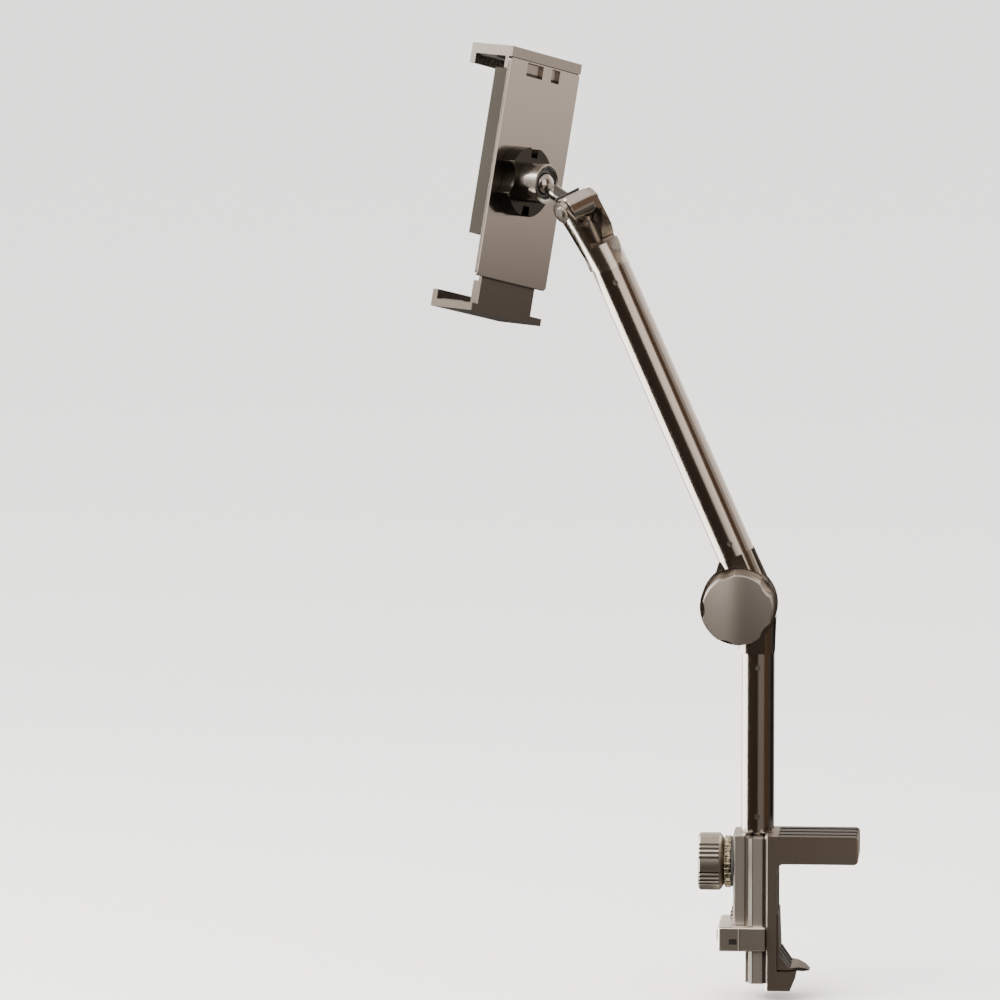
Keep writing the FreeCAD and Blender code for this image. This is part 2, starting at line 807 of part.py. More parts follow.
def make_drive_shaft():
    """The knob's spindle with its spigot in the drive bevel and a hex socket in the knob's face."""
    back = SCREW_X + " - bevel_pitch_radius - bevel_hub"
    start = KNOB_RIGHT + " - knob_width"
    spindle = rod("spindle", "x", "shaft_diameter / 2", (start + " + knob_recess", back), KNOB_AXIS)
    spigot = rod("spindle_spigot", "x", "spigot_radius", (back, back + " + spigot_length"), KNOB_AXIS)
    head = rod("spindle_head", "x", "spindle_head_radius",
            (start + " + spindle_head_inset", start + " + knob_recess"), KNOB_AXIS)
    key = rod("spindle_key", "x", "spindle_key_radius", (start, start + " + spindle_key_depth"), KNOB_AXIS)
    return keep(cut("spindle_cut", join("spindle_whole", spindle, spigot, head), key), "drive_shaft")


def make_drive():
    """The two bevel gears in mesh, the lead screw, the knob's bush and washer."""
    apex = FreeCAD.Vector(SCREW_PLACE, 0, -mm("knob_drop"))
    half_tooth = 180 / mm("bevel_teeth")
    across = FreeCAD.Placement(apex, FreeCAD.Rotation(FreeCAD.Vector(0, 1, 0), 90))
    make_bevel("drive_bevel", across, 0, bored=True)
    make_bevel("screw_bevel", FreeCAD.Placement(apex, FreeCAD.Rotation()), half_tooth)
    low = "(-knob_drop - bevel_pitch_radius - bevel_hub)"
    middle = (SCREW_X, "0")
    thread = rod("lead_screw_thread", "z", "screw_diameter / 2", (FLOOR + " + body_gap", low), middle)
    foot = rod("lead_screw_foot", "z", "screw_diameter / 2 - foot_step",
            (FLOOR + " - column_floor + foot_skin + body_gap", FLOOR + " + past"), middle)
    keep(join("lead_screw_whole", thread, foot), "lead_screw")
    span = (RAIL_BACK, CORE_BACK)
    sleeve = rod("bush_sleeve", "x", "shaft_diameter / 2 + running_gap + bush_wall", span, KNOB_AXIS)
    hole = rod("bush_bore", "x", "shaft_diameter / 2 + running_gap",
            (RAIL_BACK + " - past", CORE_BACK + " + past"), KNOB_AXIS)
    keep(cut("shaft_bush_cut", sleeve, hole), "shaft_bush")
    disc = rod("washer_disc", "x", "washer_diameter / 2", (RAIL_BACK + " - washer_width", RAIL_BACK),
            KNOB_AXIS)
    hole = rod("washer_bore", "x", "shaft_diameter / 2 + body_gap",
            (RAIL_BACK + " - washer_width - past", RAIL_BACK + " + past"), KNOB_AXIS)
    keep(cut("knob_washer_cut", disc, hole), "knob_washer")


def make_lock_ring():
    """The brass lock ring between knob and cover, its rim notched all round."""
    body = new_body("lock_ring_body")
    rim = "lock_ring_diameter / 2"
    revolve(body, "ring", [("shaft_diameter / 2", "0"), (rim + " - ring_edge", "0"), (rim, "ring_edge"),
                           (rim, "lock_ring_width - ring_edge"), (rim + " - ring_edge", "lock_ring_width"),
                           ("shaft_diameter / 2", "lock_ring_width")])
    notch = circle(body, "rim_notch", "XY_Plane", "notch_radius", (rim + " + notch_out", "0"),
            "lock_ring_width")
    repeat_round(body, pocket(body, notch, "lock_ring_width"), "Z_Axis", "ring_notches")
    turned = FreeCAD.Rotation(FreeCAD.Vector(0, 1, 0), -90)
    right = -mm("jaw_length") / 2 - mm("web_thickness") - mm("column_core") - mm("rail_thickness")
    right -= mm("washer_width") + mm("body_gap")
    return keep(body, "lock_ring", FreeCAD.Placement(FreeCAD.Vector(right, 0, -mm("knob_drop")), turned))


def make_lower_jaw():
    """The sliding jaw: carriage in the web's slot, thin shoe on the web, ramp and beak-like tongue."""
    shoe = "(-jaw_length / 2 + body_gap)"
    face = "(-jaw_length / 2 + body_gap + shoe_thickness)"
    body = new_body("lower_jaw_body")
    side = [
        (shoe, "-shoe_top"), (shoe, "-ramp_bottom - ramp_foot"), (face + " + ramp_reach",
                "-ramp_bottom - ramp_foot"),
        (face + " + ramp_reach", "-ramp_bottom"), (face, "-ramp_top"), (shoe + " + shoe_edge", "-shoe_top"),
    ]
    pad(body, outline(body, "shoe_and_ramp", "XZ_Plane", side), "jaw_depth - 2 * shoe_inset",
            both_ways=True)
    reach = "(-jaw_length / 2 + tongue_reach)"
    plan = [
        (face + " + ramp_reach - shoe_inset",
                "-jaw_depth / 2 + shoe_inset"),
                (face + " + ramp_reach + beak_step", "-jaw_depth / 2 + 2 * shoe_inset"),
        (reach + " - beak_taper", "-tongue_tip_width"), (reach, "-tongue_tip_width / 2"), (reach,
                "tongue_tip_width / 2"),
        (reach + " - beak_taper", "tongue_tip_width"), (face + " + ramp_reach + beak_step",
                "jaw_depth / 2 - 2 * shoe_inset"),
        (face + " + ramp_reach - shoe_inset", "jaw_depth / 2 - shoe_inset"),
    ]
    beak = [
        (face, "-ramp_bottom + beak_root"), (face + " + ramp_reach + beak_bend",
                "-ramp_bottom + beak_rise"),
        (reach + " - beak_step", "-ramp_bottom - beak_fall"), (reach + " + beak_tip",
                "-ramp_bottom - tongue_drop"),
        (reach + " - beak_under", "-ramp_bottom - tongue_drop + beak_root"),
        (WEB_FACE + " + lug_reach + beak_heel",
                "-ramp_bottom - 2 * ramp_foot"),
                (WEB_FACE + " + lug_reach", "-ramp_bottom - ramp_foot"),
        (face, "-ramp_bottom - ramp_foot"),
    ]
    sheet_body = new_body("tongue_body")
    pad(sheet_body, outline(sheet_body, "beak_side", "XZ_Plane", beak), "jaw_depth", both_ways=True)
    plan_body = new_body("tongue_plan_body")
    pad(plan_body, outline(plan_body, "beak_plan", "XY_Plane", plan, "-ramp_bottom - beak_room"),
            "2 * beak_room")
    tongue = meet("tongue_shape", sheet_body, plan_body)
    span_y = ("-slot_width / 2 + body_gap", "slot_width / 2 - body_gap")
    carriage = block("carriage_block",
            (CORE_BACK + " + track_wall + body_gap", shoe + " + carriage_bite"), span_y,
                     ("-carriage_rest", CARRIAGE_TOP))
    whole = join("lower_jaw_whole", body, tongue, carriage)
    screw_pass = rod("nut_pocket", "z", "screw_diameter / 2 + running_gap + nut_wall",
                     ("-carriage_rest - past", CARRIAGE_TOP + " + past"), (SCREW_X, "0"))
    return keep(cut("lower_jaw_cut", whole, screw_pass), "lower_jaw")


def make_drive_nut():
    span = ("-carriage_rest", CARRIAGE_TOP)
    middle = (SCREW_X, "0")
    sleeve = rod("nut_sleeve", "z", "screw_diameter / 2 + running_gap + nut_wall", span, middle)
    hole = rod("nut_bore", "z", "screw_diameter / 2 + running_gap",
            ("-carriage_rest - past", CARRIAGE_TOP + " + past"), middle)
    return keep(cut("drive_nut_cut", sleeve, hole), "drive_nut")


def make_jaw_ribs(jaw):
    """Three rubber ribs down the jaw's ramp."""
    face = "(-jaw_length / 2 + body_gap + shoe_thickness)"
    ribs = []
    for k, side in enumerate((-1, 0, 1)):
        body = new_body("rib_body_%d" % k)
        corners = [
            (face, "-ramp_top"), (face + " + ramp_reach", "-ramp_bottom"),
            (face + " + ramp_reach + rib_height", "-ramp_bottom + rib_height * rib_low_share"),
            (face + " + rib_height * rib_top_share", "-ramp_top + rib_height * rib_crown_share"), (face,
                    "-ramp_top + rib_height"),
        ]
        sketch = outline(body, "rib_side_%d" % k, "XZ_Plane", corners,
                "%d * rib_spacing - rib_width / 2" % side)
        pad(body, sketch, "rib_width")
        ribs.append(body)
    return keep(cut("ribs_cut", join("rib_set", *ribs), jaw), "lower_jaw_ribs")


make_knob()
make_drive_shaft()
make_drive()
make_lock_ring()
lower_jaw = make_lower_jaw()
make_drive_nut()
make_jaw_ribs(lower_jaw)

ELBOW_Z = "elbow_height"
FLANGE_LOW = "(pad_proud + jaw_thickness + seat_gap)"
TUBE_LOW = "(pad_proud + jaw_thickness + seat_gap + flange_height)"
LOWER_RADIUS = "lower_tube_diameter / 2"
UPPER_RADIUS = "upper_tube_diameter / 2"
CHEEK_INNER = "(tongue_thickness / 2 + body_gap + friction_washer)"
CHEEK_OUTER = "(tongue_thickness / 2 + body_gap + friction_washer + cheek_thickness)"
ELBOW_AXIS = (ELBOW_X, ELBOW_Z)


def make_swivel_post():
    """The foot of the arm: a post that turns in the column, a flange and a plug in the tube."""
    middle = (SCREW_X, "0")
    post = rod("foot_post", "z", "post_diameter / 2", ("column_top - post_depth", FLANGE_LOW), middle)
    flange = rod("foot_flange", "z", "flange_diameter / 2", (FLANGE_LOW, TUBE_LOW), middle)
    plug = rod("foot_plug", "z", LOWER_RADIUS + " - tube_wall", (TUBE_LOW, TUBE_LOW + " + plug_length"),
            middle)
    return keep(join("foot_whole", post, flange, plug), "swivel_post")


def make_tube(node, radius, span, across, screws, frame=None):
    """A round tube with the holes that its set screws stand in."""
    outer = rod(node + "_outer", "z", radius, span, across)
    inner = rod(node + "_inner", "z", radius + " - tube_wall",
            (span[0] + " - past", span[1] + " + past"), across)
    holes = [rod("%s_hole_%d" % (node, k), "y", "set_screw_diameter / 2", ("-%s - past" % radius, "0"),
            (across[0], spot))
             for k, spot in enumerate(screws)]
    return keep(cut(node + "_cut", outer, inner, *holes), node, frame)


def make_set_screws(node, radius, across, screws, frame=None):
    """Hex socket set screws, flush with the tube, that hold its end plugs."""
    solids = []
    for k, spot in enumerate(screws):
        shank = rod("%s_shank_%d" % (node, k), "y", "set_screw_diameter / 2",
                    ("-%s - screw_proud" % radius, "-%s + tube_wall" % radius), (across, spot))
        key = rod("%s_key_%d" % (node, k), "y", "set_screw_diameter / 4",
                  ("-%s - past" % radius, "-%s + past" % radius), (across, spot))
        solids.append(cut("%s_cut_%d" % (node, k), shank, key))
    return keep(join(node + "_set", *solids), node, frame)


def make_lower_fork():
    """The elbow's fork: two round cheeks on a body that plugs into the lower tube."""
    top = "elbow_height - fitting_reach"
    body = new_body("fork_flare_body")
    sides = [
        (SCREW_X + " - " + LOWER_RADIUS, top), (SCREW_X + " + " + LOWER_RADIUS, top),
        (ELBOW_X + " + housing_diameter / 2 - flare_inset", ELBOW_Z), (ELBOW_X, ELBOW_Z),
        (ELBOW_X + " - flare_reach", "elbow_height - housing_diameter / 2 + flare_foot"),
    ]
    pad(body, outline(body, "fork_flare", "XZ_Plane", sides), "2 * " + CHEEK_OUTER, both_ways=True)
    round_body = rod("fork_round", "z", LOWER_RADIUS + " + flare_wide", (top, ELBOW_Z), (SCREW_X, "0"))
    flare = meet("fork_body_shape", body, round_body)
    disc = rod("cheek_disc", "y", "housing_diameter / 2", ("-" + CHEEK_OUTER, CHEEK_OUTER), ELBOW_AXIS)
    plug = rod("fork_plug", "z", LOWER_RADIUS + " - tube_wall", (top + " - plug_length", top),
            (SCREW_X, "0"))
    whole = join("fork_whole", flare, disc, plug)
    gap = rod("fork_slot", "y", "housing_diameter / 2 + slot_clear", ("-" + CHEEK_INNER, CHEEK_INNER),
            ELBOW_AXIS)
    bore = rod("fork_bore", "y", "bolt_diameter / 2", ACROSS, ELBOW_AXIS)
    return keep(cut("fork_cut", whole, gap, bore), "lower_fork")


def make_friction_washers():
    discs = []
    for k, side in enumerate(("-", "")):
        low = "tongue_thickness / 2 + body_gap"
        span = ("-(%s + friction_washer)" % low, "-(%s)" % low) if side else (low,
                low + " + friction_washer")
        disc = rod("friction_disc_%d" % k, "y", "housing_diameter / 2 - flare_foot", span, ELBOW_AXIS)
        bore = rod("friction_bore_%d" % k, "y", "bolt_diameter / 2", ACROSS, ELBOW_AXIS)
        discs.append(cut("friction_cut_%d" % k, disc, bore))
    return keep(join("friction_pair", *discs), "friction_washers")


def make_elbow_fasteners():
    """The elbow's bolt and the cap on its rear head."""
    bolt = rod("elbow_bolt_shank", "y", "bolt_diameter / 2",
               ("-(%s + body_gap + insert_length - bolt_short)" % CHEEK_OUTER, CHEEK_OUTER), ELBOW_AXIS)
    head = rod("elbow_bolt_head", "y", "bolt_head_radius",
            (CHEEK_OUTER, CHEEK_OUTER + " + bolt_head_height"), ELBOW_AXIS)
    keep(join("elbow_bolt_whole", bolt, head), "elbow_bolt")
    low = CHEEK_OUTER
    cap = rod("rear_cap_rim", "y", "rear_cap_diameter / 2",
            (low, low + " + rear_cap_height - crown_height"), ELBOW_AXIS)
    crown = cone("rear_cap_crown", "y", ("rear_cap_diameter / 2", "rear_cap_diameter / 2 - crown_inset"),
                 (low + " + rear_cap_height - crown_height", low + " + rear_cap_height"), ELBOW_AXIS)
    room = rod("rear_cap_room", "y", "bolt_head_radius", (low + " - past", low + " + bolt_head_height"),
            ELBOW_AXIS)
    keep(cut("rear_cap_cut", join("rear_cap_whole", cap, crown), room), "elbow_rear_cap")


def make_elbow_knob():
    """The big flat knob: a drum with a rounded edge and shallow scallops round its rim."""
    body = new_body("elbow_knob_body")
    rim = "elbow_knob_diameter / 2"
    insert = "bolt_diameter / 2 + running_gap + insert_wall"
    revolve(body, "elbow_drum", [
        (insert, "0"), (rim + " - drum_bevel", "0"), (rim, "drum_bevel"), (rim,
                "elbow_knob_width - drum_edge"),
        (rim + " - drum_edge", "elbow_knob_width"), ("0", "elbow_knob_width"), ("0", "insert_length"),
        (insert, "insert_length"),
    ])
    centre = ("-(elbow_knob_diameter / 2 + scallop_radius - scallop_deep)", "0")
    ring = circle(body, "scallop", "XY_Plane", "scallop_radius", centre, "elbow_knob_width")
    repeat_round(body, pocket(body, ring, "elbow_knob_width"), "Z_Axis", "scallop_count")
    face = -(mm("tongue_thickness") / 2 + 2 * mm("body_gap") + mm("friction_washer") + mm("cheek_thickness"))
    spot = FreeCAD.Vector(ELBOW_PLACE.x, face, ELBOW_PLACE.z)
    keep(body, "elbow_knob", FreeCAD.Placement(spot, FreeCAD.Rotation(FreeCAD.Vector(1, 0, 0), 90)))
    high = "-(%s + body_gap)" % CHEEK_OUTER
    sleeve = rod("insert_sleeve", "y", insert, (high + " - insert_length", high), ELBOW_AXIS)
    bore = rod("insert_bore", "y", "bolt_diameter / 2 + running_gap",
            (high + " - insert_length - past", "0"), ELBOW_AXIS)
    keep(cut("insert_cut", sleeve, bore), "knob_insert")


def make_upper_fitting():
    """The elbow's tongue on a body that plugs into the upper tube, hollowed round the cheeks."""
    start = "fitting_reach"
    sides = [
        ("upper_offset - " + UPPER_RADIUS, start), ("upper_offset + " + UPPER_RADIUS, start),
        ("housing_diameter / 2 - neck_inset", "0"), ("0", "0"), ("-flare_reach",
                "housing_diameter / 2 - flare_foot"),
    ]
    centre = ("upper_offset", "0")
    body = new_body("shoulder_body")
    pad(body, outline(body, "shoulder", "XZ_Plane", sides), "2 * " + CHEEK_OUTER, both_ways=True)
    rounder = rod("shoulder_round", "z", UPPER_RADIUS + " + shoulder_wide", ("0", start), centre)
    outside = rod("cheek_room", "y", "housing_diameter / 2 + body_gap * 2", ACROSS)
    shoulder = cut("shoulder_cut", meet("shoulder_shape", body, rounder), outside)
    neck = new_body("tongue_neck_body")
    pad(neck, outline(neck, "tongue_neck", "XZ_Plane", sides), "tongue_thickness", both_ways=True)
    disc = rod("tongue_disc", "y", "housing_diameter / 2 - tongue_inset",
            ("-tongue_thickness / 2", "tongue_thickness / 2"))
    plug = rod("upper_plug", "z", UPPER_RADIUS + " - tube_wall", (start, start + " + plug_length"), centre)
    whole = join("tongue_whole", shoulder, neck, disc, plug)
    bore = rod("tongue_bore", "y", "bolt_diameter / 2 + running_gap", ACROSS)
    return keep(cut("tongue_cut", whole, bore), "elbow_tongue", ARM_FRAME)


ELBOW_PLACE = FreeCAD.Vector(
    -mm("jaw_length") / 2 - mm("web_thickness") - mm("screw_setback") - mm("elbow_offset"), 0, mm("elbow_height"))
ARM_FRAME = FreeCAD.Placement(ELBOW_PLACE, FreeCAD.Rotation(FreeCAD.Vector(0, 1, 0), -mm("arm_lean")))
LOWER_SCREWS = (TUBE_LOW + " + set_screw_inset", "elbow_height - fitting_reach - set_screw_inset")
UPPER_SCREWS = ("fitting_reach + set_screw_inset", "upper_length - set_screw_inset")

make_swivel_post()
make_tube("lower_tube", LOWER_RADIUS, (TUBE_LOW, "elbow_height - fitting_reach"), (SCREW_X, "0"),
        LOWER_SCREWS)
make_set_screws("lower_set_screws", LOWER_RADIUS, SCREW_X, LOWER_SCREWS)
make_lower_fork()
make_friction_washers()
make_elbow_fasteners()
make_elbow_knob()
make_upper_fitting()
make_tube("upper_tube", UPPER_RADIUS, ("fitting_reach", "upper_length"), ("upper_offset", "0"),
        UPPER_SCREWS, ARM_FRAME)
make_set_screws("upper_set_screws", UPPER_RADIUS, "upper_offset", UPPER_SCREWS, ARM_FRAME)

FORK_FRAME = ARM_FRAME.multiply(FreeCAD.Placement(
    FreeCAD.Vector(mm("upper_offset") - mm("hinge_shift"), 0, mm("upper_length") + mm("fork_reach")),
    FreeCAD.Rotation(FreeCAD.Vector(0, 0, 1), mm("fork_twist"))))
KNUCKLE_FRAME = FORK_FRAME.multiply(FreeCAD.Placement(
    FreeCAD.Vector(), FreeCAD.Rotation(FreeCAD.Vector(1, 0, 0), -mm("knuckle_tilt"))))
BALL_PLACE = KNUCKLE_FRAME.multVec(FreeCAD.Vector(0, 0, mm("ball_reach")))
HOLDER_FRAME = FreeCAD.Placement(
    BALL_PLACE, FreeCAD.Rotation(mm("holder_yaw"), mm("holder_pitch"), mm("holder_roll")))

FORK_INNER = "(knuckle_width / 2 + fork_gap)"
FORK_LEFT = "(knuckle_width / 2 + fork_gap + left_wall)"
FORK_RIGHT = "(knuckle_width / 2 + fork_gap + right_wall)"
FORK_START = "(-fork_reach)"
FORK_BASE = "(fork_reach - stub_length)"
FORK_FACE = mm("knuckle_width") / 2 + mm("fork_gap")
TUBE_IN_FORK = ("hinge_shift * cos(fork_twist)", "-hinge_shift * sin(fork_twist)")


def half_space(name, point, turn, rise):
    """A large block beyond a plane through a point, whose normal has this turn and rise."""
    slab = doc.addObject("Part::Box", name)
    bind(slab, Length="2 * fork_reach", Width="2 * fork_reach", Height="fork_reach")
    tilt = FreeCAD.Placement(point, FreeCAD.Rotation(mm(turn), 90 - mm(rise), 0))
    half = mm("fork_reach")
    slab.Placement = tilt.multiply(FreeCAD.Placement(FreeCAD.Vector(-half, -half, 0), FreeCAD.Rotation()))
    return slab


def profile_slab(name, points, inner, width):
    """A slab across the hinge: an outline in the fork's side view, from an inner face outwards."""
    body = new_body(name + "_body")
    pad(body, outline(body, name, "YZ_Plane", points, inner), width)
    return body


def fork_envelope(name):
    """The fork's outer form: it widens from the tube's circle to a larger, shifted circle at the hinge."""
    body = new_body(name)
    low = circle(body, name + "_low", "XY_Plane", UPPER_RADIUS, TUBE_IN_FORK, "-" + FORK_BASE)
    high = circle(body, name + "_high", "XY_Plane", "fork_top_radius",
            ("fork_top_shift", "-fork_top_back"), "0")
    skin = body.newObject("PartDesign::AdditiveLoft", name + "_loft")
    skin.Profile = low
    skin.Sections = [high]
    skin.Ruled = True
    doc.recompute()
    return body


def make_end_fork():
    """The fork at the arm's top: a round end cut open, with a leaning strap and a faceted wall."""
    stub = rod("fork_stub", "z", UPPER_RADIUS, (FORK_START, "-" + FORK_BASE), TUBE_IN_FORK)
    plug = rod("fork_tail", "z", UPPER_RADIUS + " - tube_wall",
            (FORK_START + " - plug_length", FORK_START), TUBE_IN_FORK)
    foot = block("fork_foot", ("-" + FORK_LEFT, "2 * " + FORK_RIGHT), ACROSS,
            ("-" + FORK_BASE, "-fork_floor"))
    rear = block("fork_rear", ("-rear_wall_left", FORK_RIGHT),
            ("rear_wall_face", "rear_wall_face + rear_wall"),
                 ("-" + FORK_BASE, "-rear_wall_top"))
    strap_side = [
        ("-wall_half", "0"), ("-wall_half - strap_widen",
                "-wall_half - strap_turn"), ("-wall_half - foot_widen", "-" + FORK_BASE),
        ("strap_heel", "-" + FORK_BASE), ("strap_waist", "-fork_floor - past"), ("strap_neck",
                "-wall_half - strap_turn - past"), ("wall_half - past", "-wall_half / 2"),
                ("wall_half", "0"),
    ]
    strap_front = [
        ("-" + FORK_LEFT, "0"), ("-" + FORK_LEFT, "-" + FORK_BASE), ("strap_lean - " + FORK_INNER,
                "-" + FORK_BASE),
        ("-" + FORK_INNER, "-strap_bend"), ("-" + FORK_INNER, "0"),
    ]
    strap_width = profile_slab("fork_strap_side", strap_side, "-" + FORK_LEFT, FORK_LEFT)
    strap_body = new_body("fork_strap_front_body")
    pad(strap_body, outline(strap_body, "fork_strap_front", "XZ_Plane", strap_front), "2 * fork_reach",
            both_ways=True)
    strap = meet("fork_strap", strap_width, strap_body)
    wall_side = [
        ("-wall_half", "0"), ("-wall_half - wall_widen",
                "-wall_half - strap_widen"), ("-wall_half - wall_foot", "-facet_height - facet_step"),
        ("-wall_half - foot_widen", "-" + FORK_BASE), ("wall_half + past",
                "-" + FORK_BASE), ("wall_half", "0"),
    ]
    wall = profile_slab("fork_wall", wall_side, FORK_INNER, "right_wall")
    trunk = meet("fork_trunk", join("fork_walls", foot, rear, strap, wall), fork_envelope("fork_skin"))
    left_ear = rod("fork_left_ear", "x", "wall_half", ("-" + FORK_LEFT, "-" + FORK_INNER))
    right_ear = rod("fork_right_ear", "x", "wall_half", (FORK_INNER, FORK_RIGHT))
    whole = join("end_fork_whole", stub, plug, trunk, left_ear, right_ear)
    bore = rod("end_fork_bore", "x", "hinge_pin_diameter / 2", ACROSS)
    upper_point = FreeCAD.Vector(FORK_FACE, -mm("upper_facet_back"), -mm("facet_height"))
    lower_point = FreeCAD.Vector(FORK_FACE, mm("lower_facet_front"), -mm("facet_height"))
    upper_facet = half_space("fork_upper_facet", upper_point, "upper_facet_turn", "upper_facet_rise")
    lower_facet = half_space("fork_lower_facet", lower_point, "lower_facet_turn", "lower_facet_rise")
    upper_reach = block("fork_upper_reach", (FORK_INNER, "all_across"), ("-all_across", "0"),
            ("-facet_height - facet_lap", "0"))
    below = "-%s - past" % FORK_BASE
    reach_side = [
        ("lower_facet_front", below), ("lower_facet_front", "-facet_height"),
        ("-all_across", "-facet_height"), ("-all_across", below),
    ]
    lower_reach = profile_slab("fork_lower_reach", reach_side, "wall_foot - past", "2 * all_across")
    top_cut = meet("fork_top_cut", upper_facet, upper_reach)
    low_cut = meet("fork_low_cut", lower_facet, lower_reach)
    return keep(cut("end_fork_cut", whole, bore, top_cut, low_cut), "end_fork", FORK_FRAME)


def make_fork_fasteners():
    """The hinge pin with its head and end nut, the tension screw and the dark trim strip."""
    pin = rod("hinge_pin_shank", "x", "hinge_pin_diameter / 2", ("-" + FORK_LEFT, FORK_RIGHT))
    head = rod("hinge_pin_head", "x", "pin_head_diameter / 2",
            (FORK_RIGHT, FORK_RIGHT + " + pin_head_height"))
    key = rod("hinge_pin_key", "x", "pin_head_diameter / 4",
            (FORK_RIGHT + " + pin_key_floor", FORK_RIGHT + " + pin_head_height + past"))
    foot = rod("hinge_pin_foot", "x", "pin_foot_radius",
            ("-(%s + pin_foot_height)" % FORK_LEFT, "-" + FORK_LEFT))
    keep(cut("hinge_pin_cut", join("hinge_pin_whole", pin, head, foot), key), "hinge_pin", FORK_FRAME)
    spot = ("tension_screw_shift", "-tension_screw_drop")
    screw = rod("tension_head", "y", "pin_head_diameter / 3",
            ("rear_wall_face - pin_head_height", "rear_wall_face"), spot)
    key = rod("tension_key", "y", "pin_head_diameter / 6",
            ("rear_wall_face - pin_head_height - past", "rear_wall_face - pin_key_floor"), spot)
    keep(cut("tension_cut", screw, key), "tension_screw", FORK_FRAME)
    spot = ("hinge_shift * cos(fork_twist) - trim_shift", "-hinge_shift * sin(fork_twist) + trim_back")
    strip = rod("trim_strip", "z", "trim_radius", ("-" + FORK_BASE, "-fork_floor - trim_drop"), spot)
    keep(cut("trim_cut", strip, fork_envelope("trim_skin")), "fork_trim", FORK_FRAME)


def make_knuckle():
    """The block between the fork's walls: a round end on the hinge pin and a flat end for the stem."""
    block_part = block("knuckle_block", ("-knuckle_width / 2", "knuckle_width / 2"),
                       ("-knuckle_thickness / 2", "knuckle_thickness / 2"), ("0", "knuckle_rise"))
    barrel = rod("knuckle_barrel", "x", "knuckle_thickness / 2",
            ("-knuckle_width / 2", "knuckle_width / 2"))
    bore = rod("knuckle_bore", "x", "hinge_pin_diameter / 2 + running_gap", ACROSS)
    seat = rod("stem_seat", "z", "stem_radius - stem_step",
            ("knuckle_rise - stem_seat", "knuckle_rise + past"))
    return keep(cut("knuckle_cut", join("knuckle_whole", block_part, barrel), bore, seat), "knuckle",
            KNUCKLE_FRAME)


def make_end_plate():
    """The thin dark plate between the knuckle's flat end and the stem."""
    rim = "(knuckle_width / 2 + end_plate_rim)"
    half = "(knuckle_thickness / 2 + end_plate_rim)"
    plate = block("end_plate_block", ("-" + rim, rim), ("-" + half, half),
            ("knuckle_rise", "knuckle_rise + end_plate"))
    hole = rod("end_plate_hole", "z", "stem_radius - stem_step",
            ("knuckle_rise - past", "knuckle_rise + end_plate + past"))
    return keep(cut("end_plate_cut", plate, hole), "knuckle_plate", KNUCKLE_FRAME)


def make_ball_stem():
    """The ball on its turned stem, screwed through the plate into the knuckle's flat end."""
    shank = rod("stem_shank", "z", "stem_radius",
            ("knuckle_rise + end_plate", "ball_reach - ball_radius - neck_length"))
    spigot = rod("stem_spigot", "z", "stem_radius - stem_step",
            ("knuckle_rise - stem_seat", "knuckle_rise + end_plate"))
    taper = cone("stem_taper", "z", ("stem_radius", "neck_radius"),
            ("ball_reach - ball_radius - neck_length",
            "ball_reach - ball_radius - neck_length + neck_taper"))
    neck = rod("stem_neck", "z", "neck_radius",
            ("ball_reach - ball_radius - neck_length + neck_taper",
            "ball_reach - ball_radius + neck_bite"))
    sphere = ball("stem_ball", "ball_radius")
    place(sphere, "0", "0", "ball_reach")
    return keep(join("ball_stem_whole", shank, spigot, taper, neck, sphere), "ball_stem", KNUCKLE_FRAME)


def shell(node, inner, outer, top):
    """A round shell about the ball, cut off level above the ball's middle."""
    bowl = cut(node + "_bowl", ball(node + "_out", outer), ball(node + "_in", inner))
    lid = block(node + "_lid", ACROSS, ACROSS, (top, "all_across"))
    return keep(cut(node + "_cut", bowl, lid), node, HOLDER_FRAME)


